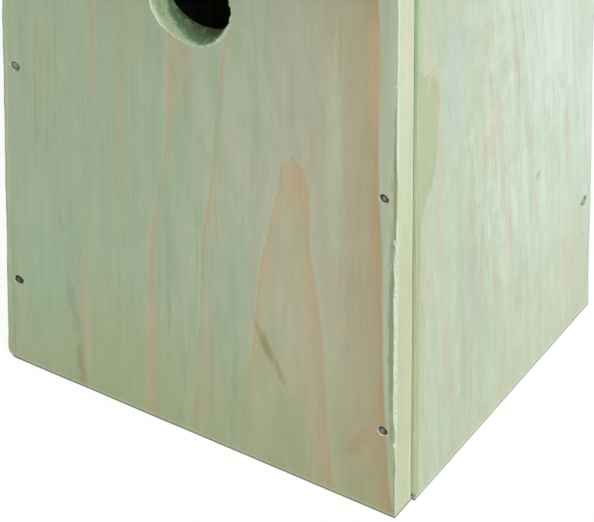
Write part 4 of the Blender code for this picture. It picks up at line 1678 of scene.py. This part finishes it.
@dataclass
class Studio:
    """Floor, lamps, world and the camera at the photograph's angle."""

    azimuth: float = math.radians(31.6)
    elevation: float = math.radians(42.7)
    distance: float = 4500 * MM
    target: Vector = Vector((36.91 * MM, FRONT_FACE, 95.35 * MM))
    lens: float = 854.1
    key_azimuth: float = math.radians(62)
    key_elevation: float = math.radians(54)
    key_strength: float = 2.1
    lamp_softness: float = math.radians(40)
    fill_azimuth: float = math.radians(235)
    fill_elevation: float = math.radians(35)
    fill_strength: float = 0.3
    sky: float = 0.56
    far_clip: float = 100
    lamp_distance: float = 3
    floor_size: float = 60.0
    floor_rim: float = 3.0
    floor_drop: float = 0.05

    def direction(self, azimuth: float, elevation: float) -> Vector:
        """From the object towards something at an azimuth and elevation."""
        flat = math.cos(elevation)
        return Vector((math.sin(azimuth) * flat, -math.cos(azimuth) * flat, math.sin(elevation)))

    def aim(self, obj: Piece, way: Vector) -> None:
        """Turns a lamp or camera to look against a direction."""
        obj.rotation_euler = (-way).to_track_quat("-Z", "Y").to_euler()

    def camera(self) -> None:
        """The camera, with a long lens, as the photograph's nearly parallel edges ask for."""
        way = self.direction(self.azimuth, self.elevation)
        bpy.ops.object.camera_add(location=self.target + way * self.distance)
        camera = named("camera")
        self.aim(camera, way)
        camera.data.lens = self.lens
        camera.data.clip_end = self.far_clip
        bpy.context.scene.camera = camera

    def lamp(self, name: str, azimuth: float, elevation: float, strength: float) -> None:
        """A soft distant lamp."""
        way = self.direction(azimuth, elevation)
        bpy.ops.object.light_add(type="SUN", location=way * self.lamp_distance)
        lamp = named(name)
        self.aim(lamp, way)
        lamp.data.energy = strength
        lamp.data.angle = self.lamp_softness

    def world(self) -> None:
        """Even sky. The camera, gloss and glass see it as plain white."""
        world = bpy.data.worlds.new("studio_sky")
        bpy.context.scene.world = world
        world.use_nodes = True
        wiring = Wiring(world.node_tree)
        path = wiring.node("LightPath", {}).outputs
        seen_rays = wiring.calc("MAXIMUM", path["Is Camera Ray"], path["Is Glossy Ray"])
        seen_rays = wiring.calc("MAXIMUM", seen_rays, path["Is Transmission Ray"])
        sky = world.node_tree.nodes["Background"]
        sky.inputs["Color"].default_value = (1, 1, 1, 1)
        wiring.feed(sky.inputs["Strength"], wiring.step(seen_rays, 0.0, 1.0, self.sky, 1.0))

    def floor(self) -> None:
        """White floor, with its far rim turned down."""
        bpy.ops.mesh.primitive_plane_add(size=self.floor_size)
        floor = named("studio_floor")
        with editing(floor):
            bpy.ops.mesh.select_all(action="SELECT")
            bpy.ops.mesh.inset(thickness=self.floor_rim)
            choose(floor, Pick.VERTS, lambda vert: abs(vert.co.x) > self.floor_size / 2 - self.floor_rim / 2)
            bpy.ops.transform.translate(value=(0, 0, -self.floor_drop))
        floor.data.materials.append(StudioFloor().material())

    def build(self) -> None:
        """All of the studio."""
        bpy.context.scene.view_settings.view_transform = "Standard"
        self.camera()
        self.lamp("key_lamp", self.key_azimuth, self.key_elevation, self.key_strength)
        self.lamp("fill_lamp", self.fill_azimuth, self.fill_elevation, self.fill_strength)
        self.world()
        self.floor()


# The nest box

on_front = partial(seen, level=0.98)
on_side = partial(seen, level=1.09)
RING_PINK = on_front(176, 152, 118)
RING_ORANGE = on_front(164, 136, 94)
BAND_BROWN = on_front(163, 145, 109)
FRONT_TINGE = on_front(170, 165, 138)
FRONT_PALE = on_front(176, 188, 162)
FRONT_PINK = on_front(173, 161, 134)
FRONT_OLIVE = on_front(152, 154, 110)
FRONT_TEAL = on_front(142, 170, 142)
FRONT_GREY = on_front(142, 146, 126)
SIDE_TINGE = on_side(203, 197, 176)
SIDE_PALE = on_side(214, 224, 204)

FLAME_LEFT = (
    (0, 15), (12.2, 15.5), (22.3, 16.1), (32.3, 17.3), (45.4, 19.1), (57.4, 20.5), (68.5, 21.6),
    (80.6, 22.8), (92.6, 24.2), (102.7, 26), (112.7, 27.4), (122.8, 29.4), (131.8, 31), (139.9, 35.3),
    (262, 44),
)
FLAME_RIGHT = (
    (0, 51.6), (15.3, 49.5), (30.3, 48.3), (45.4, 47.6), (57.5, 46.9), (66.5, 46.2), (80.6, 44.6),
    (93.7, 43.2), (104.7, 41.7), (122.8, 41.4), (130.9, 40.8), (136.9, 37.3), (139.9, 34.8), (262, 28),
)
LEFT_COURSE = (
    (0, -20.3), (30.3, -19.5), (55.4, -19), (68.4, -18.8), (80.5, -18), (92.5, -16.5), (105.6, -14.7),
    (118.6, -12.7), (135.7, -11.7), (168.9, -11), (262, -5),
)
THIN_COURSE = (
    (0, -2.2), (25.3, -1.7), (42.3, -0.5), (60.4, 0.2), (80.5, 1), (92.6, 1.9), (105.6, 3.3), (122.7, 5.2),
    (147.8, 7), (168.9, 9.1), (262, 18),
)
BAND_COURSE = (
    (0, 74), (6.2, 72.8), (15.3, 71.6), (30.4, 70.6), (45.5, 69.9), (65.6, 69.1), (90.7, 68.8),
    (117.9, 68.3), (143, 67.2), (206.4, 67.1), (262, 65),
)
FRONT_LINES = (
    RingLine(LEFT_COURSE, (), 3.4, 0.75, RING_PINK, 0.8),
    RingLine(THIN_COURSE, (), 1.0, 0.85, RING_PINK),
    RingLine((), BAND_COURSE, 15, 0.9, BAND_BROWN, 1.1),
    RingLine((), BAND_COURSE, 1.6, 0.6, RING_ORANGE, 0.8),
    RingLine(FLAME_LEFT, FLAME_RIGHT, 26, 0.4, on_front(176, 166, 132), 1.2),
    RingLine(FLAME_LEFT, FLAME_RIGHT, 3.8, 0.9, RING_PINK, 0.8, 2.6),
)
FRONT_MARKS = (
    Mark(36.8, 126.8, 5.5, 14, 0.0, 0.6, on_front(184, 157, 124), 0.4),
    Mark(-28, 172, 19, 26, 0.0, 0.5, on_front(152, 160, 131), 0.4),
    Mark(16, 20, 6, 36, 0.05, 0.45, on_front(148, 162, 128), 0.5),
    Mark(-45.5, 57, 0.5, 8, 0.08, 0.45, FRONT_GREY, 0.3),
    Mark(26.8, 88.6, 3.6, 24, 0.16, 0.4, FRONT_PINK, 0.5),
    Mark(-52.5, 67.3, 1.1, 9, -0.12, 0.5, FRONT_GREY, 0.4),
    Mark(-48.5, 35.2, 2.3, 25, -0.16, 0.55, FRONT_GREY, 0.6),
    Mark(-45.2, 8.2, 2.2, 18, -0.1, 0.6, on_front(144, 132, 108), 0.5),
    Mark(-43.5, 30.2, 2.4, 34, -0.04, 0.5, FRONT_PINK, 0.5),
    Mark(-35.9, 42.3, 1.6, 20, -0.03, 0.4, FRONT_PINK, 0.5),
    Mark(-28.9, 40.3, 1.0, 30, 0.0, 0.3, FRONT_PINK, 0.5),
    Mark(25.2, 52.4, 2.6, 10, -0.42, 0.8, on_front(140, 134, 84), 0.35),
    Mark(30.2, 43.4, 1.7, 7, -0.3, 0.55, on_front(140, 134, 84), 0.35),
    Mark(59.7, 27.3, 3.4, 10, 0.5, 0.5, on_front(166, 134, 100), 0.6),
    Mark(2.5, 28.3, 2.6, 46, 0.05, 0.45, FRONT_PINK, 0.5),
    Mark(-6.2, 158.8, 4.6, 22, 0.02, 0.5, on_front(164, 158, 126), 0.4),
    Mark(52.8, 193.2, 1.3, 24, 0.02, 0.6, FRONT_OLIVE, 0.4),
    Mark(49.8, 196.2, 0.6, 7, 0.1, 0.6, FRONT_GREY, 0.8),
    Mark(-61.6, 122.5, 0.8, 46, 0.01, 0.5, FRONT_OLIVE, 0.4),
    Mark(-58.4, 140.6, 1.1, 34, 0.0, 0.45, FRONT_PINK, 0.4),
    Mark(-54, 132.6, 0.9, 42, 0.0, 0.4, FRONT_OLIVE, 0.4),
    Mark(-49.4, 125.6, 0.9, 50, 0.0, 0.35, FRONT_PINK, 0.4),
    Mark(-39.7, 155.7, 2.0, 40, 0.01, 0.45, FRONT_PINK, 0.5),
    Mark(-35.1, 120.6, 0.8, 60, 0.0, 0.35, FRONT_PINK, 0.4),
    Mark(-29.4, 110.6, 0.9, 66, 0.0, 0.4, on_front(172, 160, 122), 0.4),
    Mark(-22.9, 140.7, 0.9, 52, 0.02, 0.35, FRONT_PINK, 0.4),
    Mark(19.2, 165, 0.7, 26, 0.06, 0.4, FRONT_PINK, 0.4),
    Mark(-10.1, 100.6, 7, 60, 0.08, 0.5, FRONT_TEAL, 0.5),
    Mark(-59.8, 40.2, 12, 40, 0.0, 0.4, FRONT_TEAL, 0.5),
    Mark(11.9, 70.5, 6, 44, 0.1, 0.4, FRONT_TEAL, 0.5),
    Mark(33.8, 171, 14, 34, 0.0, 0.35, on_front(168, 168, 152), 0.4),
    Mark(33.8, 14.2, 11, 34, 0.0, 0.6, on_front(150, 160, 124), 0.4),
    Mark(71.9, 151.1, 2.6, 130, 0.0, 0.5, on_front(164, 177, 148), 0.2),
    Mark(72.4, 80, 1.7, 62, 0.0, 0.85, on_front(120, 142, 103), 0.4),
    Mark(73.3, 145, 0.8, 40, 0.0, 0.8, on_front(134, 130, 94), 0.2),
    Mark(-42, 202, 34, 36, 0.0, 0.4, on_front(142, 154, 124), 0.3),
    Mark(51, 150, 4.5, 62, 0.0, 0.5, on_front(180, 186, 162), 0.5),
    Mark(65.8, 190, 4.2, 36, 0.0, 0.75, on_front(178, 160, 127), 0.3),
    Mark(59, 120, 6.5, 120, 0.0, 0.45, on_front(168, 156, 126), 0.4),
    Mark(-72.6, 100, 0.6, 110, 0.0, 0.5, on_front(178, 184, 146), 0.4),
    Mark(-71.2, 30, 0.6, 50, 0.0, 0.4, on_front(138, 150, 108), 0.4),
)

SIDE_OLIVE = on_side(169, 183, 139)
SIDE_PINK = on_side(203, 196, 174)
SIDE_KNOT = on_side(156, 170, 138)
SIDE_MAUVE = on_side(191, 206, 195)
SIDE_MINT = on_side(178, 207, 166)
SIDE_SHADE = on_side(176, 186, 164)
ARCH_COURSE = (
    (0, 13.2), (61, 12.9), (106, 12.8), (118, 13.4), (125, 16), (132, 20), (140, 22.3), (150, 23.3),
    (162, 23.6), (172, 23), (177.5, 20.5), (180, 17), (182, 13.6), (201.5, 12.4), (287, 12),
)
SIDE_LINES = (
    RingLine((), ARCH_COURSE, 30, 0.75, SIDE_OLIVE, 0.8, jagged=3.0),
    RingLine(ARCH_COURSE, (), 2.2, 0.4, SIDE_PINK, 1.2, jagged=3.0),
)
SIDE_MARKS = (
    Mark(46, 60, 14, 62, -0.05, 0.65, on_side(182, 192, 171), 0.5),
    Mark(13.6, 68, 2.8, 62, 0.0, 0.5, on_side(186, 190, 156), 0.5),
    Mark(70, 110, 5, 14, 0.0, 0.5, on_side(192, 200, 176), 0.5),
    Mark(60, 170, 8, 34, 0.0, 0.5, on_side(210, 222, 204), 0.5),
    Mark(22.6, 162, 2.2, 22, 0.0, 0.6, on_side(200, 187, 156), 0.4),
    Mark(19.5, 179.6, 3.4, 2.2, 0.0, 0.5, on_side(186, 182, 148), 0.3),
    Mark(24.6, 134, 1.4, 22, 0.05, 0.6, SIDE_PINK, 0.5),
    Mark(25.2, 109.1, 2.4, 34, -0.06, 0.6, SIDE_PINK, 0.5),
    Mark(28.5, 62.9, 2.6, 46, -0.06, 0.55, SIDE_PINK, 0.5),
    Mark(32.8, 22.8, 1.6, 34, -0.04, 0.5, on_side(194, 184, 152), 0.4),
    Mark(17.2, 187.4, 2.6, 22, -0.02, 0.5, SIDE_PINK, 0.4),
    Mark(15.6, 91.1, 1.6, 30, -0.02, 0.4, SIDE_PINK, 0.5),
    Mark(33, 165, 9, 44, -0.03, 0.7, SIDE_MAUVE, 0.5),
    Mark(120.6, 140, 0.9, 200, 0.0, 0.5, on_side(176, 184, 170), 0.1),
    Mark(30, 45, 5, 24, 0.0, 0.45, on_side(192, 192, 170), 0.5),
    Mark(37, 12, 6, 16, 0.0, 0.5, on_side(190, 192, 172), 0.5),
    Mark(13, 193, 2.2, 16, 0.0, 0.5, on_side(168, 192, 148), 0.4),
    Mark(44.7, 180, 4, 24, -0.05, 0.55, SIDE_MAUVE, 0.5),
    Mark(57.5, 123, 11, 15, 0.0, 0.5, on_side(208, 198, 174), 0.6),
    Mark(72, 141, 2.6, 18, -0.12, 0.5, SIDE_PINK, 0.6),
    Mark(79.9, 108.9, 3.2, 18, -0.2, 0.5, SIDE_PINK, 0.6),
    Mark(85.4, 72.8, 1.8, 24, -0.04, 0.55, SIDE_PINK, 0.5),
    Mark(88, 22.6, 2.2, 30, 0.0, 0.5, SIDE_PINK, 0.5),
    Mark(55.4, 96.9, 1.4, 18, -0.12, 0.55, SIDE_PINK, 0.5),
    Mark(59.7, 58.8, 1.5, 30, -0.06, 0.5, on_side(206, 188, 162), 0.5),
    Mark(63.2, 16.7, 1.7, 24, -0.04, 0.5, SIDE_PINK, 0.5),
    Mark(101.4, 128.8, 1.8, 20, 0.0, 0.4, SIDE_PINK, 0.5),
    Mark(104.8, 82.7, 2.8, 22, -0.06, 0.55, SIDE_PINK, 0.5),
    Mark(109.9, 28.6, 1.8, 34, -0.03, 0.5, SIDE_PINK, 0.5),
    Mark(40.4, 42.8, 2.2, 46, -0.04, 0.55, SIDE_SHADE, 0.6),
    Mark(44.5, 105, 3.0, 30, -0.05, 0.5, SIDE_SHADE, 0.6),
    Mark(75.2, 46.7, 4.0, 26, -0.05, 0.35, SIDE_SHADE, 0.6),
    Mark(55.7, 59.8, 1.2, 8, 0.0, 0.5, SIDE_MINT, 0.4),
    Mark(12.4, 208, 2.4, 34, 0.0, 0.85, SIDE_MINT, 0.3),
    Mark(23, 50.9, 1.6, 14, 0.0, 0.4, SIDE_MINT, 0.5),
    Mark(51.3, 26.8, 3, 18, 0.0, 0.3, SIDE_MINT, 0.5),
    Mark(97, 150, 13, 60, 0.0, 0.6, on_side(216, 229, 214), 0.5),
    Mark(118.2, 100.7, 3, 80, 0.0, 0.5, on_side(214, 224, 212), 0.4),
    Mark(89.8, 92.6, 0.9, 1.4, 0.2, 0.3, SIDE_KNOT, 0.25),
    Mark(86.4, 83.8, 2.4, 2.4, 0.2, 0.45, SIDE_KNOT, 0.4),
    Mark(91.4, 83.2, 0.8, 2.0, 0.0, 0.3, SIDE_KNOT, 0.25),
    Mark(115.5, 35.6, 0.9, 1.5, 0.0, 0.4, SIDE_KNOT, 0.25),
    Mark(11.2, 70, 1.5, 110, 0.0, 0.7, on_side(170, 178, 130), 0.3),
    Mark(10.2, 60, 0.5, 150, 0.0, 0.6, seen(176, 184, 140, 0.85), 0.0),
    # Painted shadow in the gap at the foot of the joint with the front board.
    Mark(10.4, 1.2, 1.0, 2.6, 0.0, 0.9, seen(70, 78, 44), 0.1),
)

# Per-nail copies of the steel, darker, grey-green and pale green: partly stain, partly painted light for the
# different light that each head catches.
NAIL_STATES = {
    "front_nail_left_1": "darkest",
    "front_nail_left_2": "stained",
    "side_nail_left_2": "stained",
    "side_nail_right_1": "filmed",
    "side_nail_right_3": "stained",
}


def make_finishes() -> dict[str, Material]:
    """Every finish on the box, by a short name."""
    upright = board_turn(X_AXIS, Y_AXIS, Z_AXIS)
    back = Pine(
        name="back_board_pine", origin=Vector((0, REAR_FACE, 0)), turn=board_turn(-X_AXIS, -Y_AXIS, Z_AXIS),
        cut=Cut.BACK, knots=(Knot(-26, 84, 7), Knot(30, 246, 4.5)), wear_share=0.25,
        cool=on_front(154, 173, 143), warm=on_front(170, 175, 150), low=on_front(153, 163, 128),
        latewood=RING_PINK, tinge=FRONT_TINGE, pale=FRONT_PALE, mint=FRONT_TEAL, edge=FRONT_PALE,
        edge_tinge=FRONT_TINGE, fresh=on_side(216, 228, 202), soil=on_front(98, 102, 78),
        warm_from=-60, warm_to=60, low_from=5, low_to=70,
    )
    floor = replace(
        back, name="floor_board_pine", origin=Vector((0, 0, 8 * MM)), turn=board_turn(Y_AXIS, Z_AXIS, X_AXIS),
        cut=Cut.FLOOR, knots=(), low_from=-90, low_to=-40, foot_share=0.0,
    )
    front = replace(
        back, name="front_board_pine", origin=Vector((0, FRONT_FACE, 0)), turn=upright,
        cut=Cut.FRONT, knots=(), wear_share=0.6,
        cool=on_front(151, 169, 140), warm=on_front(168, 174, 149), low=on_front(151, 163, 126),
        edge=on_side(194, 203, 168), edge_tinge=on_side(212, 196, 174), fresh=on_side(218, 233, 210),
        warm_from=-35, warm_to=50, lines=FRONT_LINES, marks=FRONT_MARKS,
        edge_from=73.7, fresh_from=73.9, ring_from=-24, ring_to=-10,
    )
    left = replace(
        back, name="left_side_pine", origin=Vector((-75.2 * MM, REAR_FACE, 0)),
        turn=board_turn(-Y_AXIS, X_AXIS, Z_AXIS), cut=Cut.LEFT_SIDE,
        knots=(Knot(34, 118, 5.5), Knot(92, 212, 3.2)),
        cool=on_side(200, 213, 189), warm=on_side(208, 214, 192), low=on_side(196, 206, 180),
        latewood=on_side(206, 186, 152), tinge=SIDE_TINGE, pale=SIDE_PALE, mint=SIDE_MINT, edge=SIDE_PALE,
        edge_tinge=SIDE_TINGE, warm_from=0, warm_to=120, low_from=0, low_to=90,
    )
    right = replace(
        left, name="right_side_pine", origin=Vector((75.2 * MM, FRONT_FACE, 0)),
        turn=board_turn(Y_AXIS, -X_AXIS, Z_AXIS), cut=Cut.RIGHT_SIDE, knots=(Knot(84, 232, 4.2),),
        cool=on_side(189, 204, 178), warm=on_side(204, 220, 203), low=on_side(188, 199, 173),
        latewood=on_side(190, 186, 160), warm_from=20, warm_to=100, lines=SIDE_LINES, marks=SIDE_MARKS,
        tinge_share=0.45, hairline_share=0.16, fibre_share=0.08, mint_share=0.22, streak_share=0.04,
    )
    lid = replace(
        left, name="lid_pine", origin=LID_AXIS - SLOPE_NORMAL * 2.65 * MM,
        turn=board_turn(Vector((0, -math.cos(ROOF_PITCH), -math.sin(ROOF_PITCH))), -SLOPE_NORMAL, X_AXIS),
        cut=Cut.LID, knots=(Knot(96, 38, 6), Knot(40, -52, 3.5)), warm_to=140, low_from=-90, low_to=-40,
        foot_share=0.0,
    )
    # The bore's lip and worn colours are painted highlights; its teal and deep colours are painted shade.
    bored = BoredPine(
        name="bored_pine", centre=ENTRANCE, radius=16,
        lip=seen(234, 245, 226), wall=seen(195, 219, 180), worn=seen(168, 181, 149), tan=seen(190, 201, 160),
        mid=seen(176, 188, 153), teal=seen(112, 146, 106), deep=seen(100, 110, 82),
    )
    dirt, moss, film = (0.035, 0.032, 0.024, 1), (0.16, 0.2, 0.15, 1), (0.3, 0.36, 0.26, 1)
    soft = (0.5, 0.7)
    finishes = {
        "front": front, "right": right, "left": left, "back": back, "floor": floor, "lid": lid,
        "sawn": SawnPine("sawn_pine", seen(200, 214, 178), seen(146, 168, 130)),
        "crushed": SawnPine("crushed_pine", seen(198, 204, 178), seen(150, 160, 130)),
        "torn": SawnPine("torn_pine", seen(222, 230, 214, 1.05), seen(198, 208, 184, 1.05)),
        "bored": bored,
        "zinc": Metal(
            "zinc_plating", (0.7, 0.71, 0.7, 1), (0.5, 0.52, 0.53, 1), dirt, (0.26, 0.42), 2.2, dent=0.00004
        ),
        "steel": Metal("nail_steel", (0.27, 0.25, 0.22, 1), (0.05, 0.045, 0.038, 1), dirt, (0.4, 0.6), 2.6),
        "stained": Metal("stained_steel", (0.3, 0.36, 0.33, 1), (0.18, 0.22, 0.2, 1), moss, soft, 1.6),
        "filmed": Metal("filmed_steel", (0.52, 0.62, 0.5, 1), (0.3, 0.38, 0.3, 1), film, soft, 1.6),
        "darkest": Metal("rusted_steel", (0.09, 0.11, 0.09, 1), (0.03, 0.035, 0.028, 1), dirt, soft, 2.0),
    }
    return {name: finish.material() for name, finish in finishes.items()}


def make_boards(finishes: dict[str, Material]) -> None:
    """The six boards of the box."""
    slope = Vector((0, FRONT_FACE, 262 * MM))
    ends = {"sawn": finishes["sawn"], "crushed": finishes["crushed"]}
    front = FrontBoard(
        "front_panel", Vector((-74 * MM, FRONT_FACE, 0)), Vector((74 * MM, -36.1 * MM, 266 * MM)),
        finishes["front"], slope_point=slope, seed=1.3,
        bored=finishes["bored"], torn=finishes["torn"], **ends,
    )
    front.build()
    front.fringe()
    for word, hand in (("left", -1.0), ("right", 1.0)):
        inner, outer = hand * 65.2 * MM, hand * 75.2 * MM
        SideBoard(
            f"{word}_side_panel", Vector((min(inner, outer), -35.8 * MM, 0)),
            Vector((max(inner, outer), REAR_FACE, 290 * MM)), finishes[word],
            slot="treated_pine_pale", slope_point=slope, seed=4.0 + hand, hand=hand, **ends,
        ).build()
    BackBoard(
        "back_panel", Vector((-64.9 * MM, 64.9 * MM, 0)),
        Vector((64.9 * MM, REAR_FACE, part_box("back_panel")[1][2])), finishes["back"], seed=7.7, **ends,
    ).build()
    FloorBoard(
        "floor_panel", Vector((-68.9 * MM, -35.8 * MM, 8 * MM)), Vector((68.9 * MM, 64.6 * MM, 18 * MM)),
        finishes["floor"], seed=9.1, **ends,
    ).build()
    Lid(
        "roof_lid", Vector((-90 * MM, -140.777 * MM, -12.65 * MM)), Vector((90 * MM, 4 * MM, -2.65 * MM)),
        finishes["lid"], body="lid", slot="treated_pine_pale", rear=Vector((0, 1.328 * MM, -2.65 * MM)),
        seed=11.9, **ends,
    ).build()


def make_fasteners(finishes: dict[str, Material]) -> None:
    """Nails of the boards and screws of the hinges."""
    nails = {}
    screws = {}
    for word, hand in (("left", -1.0), ("right", 1.0)):
        for number in (1, 2, 3):
            nails[f"front_nail_{word}_{number}"] = -Y_AXIS
            nails[f"side_nail_{word}_{number}"] = X_AXIS * hand
        nails[f"floor_nail_{word}"] = Y_AXIS
        for number in (1, 2):
            screws[f"{word}_hinge_fixed_screw_{number}"] = ("box", -Y_AXIS)
            screws[f"{word}_hinge_lid_screw_{number}"] = ("lid", SLOPE_NORMAL)
    Nails(finishes).build(nails)
    Screws(finishes["zinc"]).build(screws)


def make_hardware(finishes: dict[str, Material]) -> None:
    """Hinges, and the hook latch with its two screw eyes."""
    hardware = Hardware(finishes["zinc"])
    for word in ("left", "right"):
        hardware.pressed_part(f"{word}_hinge_fixed_leaf", "box")
        hardware.pressed_part(f"{word}_hinge_lid_leaf", "lid")
        hardware.pressed_part(f"{word}_hinge_pin", "box")
    hardware.wire_part("hook_eye", "box")
    hardware.wire_part("catch_eye", "lid")
    hardware.wire_part("latch_hook", "hook")


def main() -> None:
    """Builds the nest box, board by board, then its hardware and the studio."""
    logging.basicConfig(level=logging.INFO, format="%(name)s: %(message)s")
    noise.seed_set(474)
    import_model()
    finishes = make_finishes()
    make_boards(finishes)
    make_fasteners(finishes)
    make_hardware(finishes)
    Studio().build()


if __name__ == "__main__":
    main()
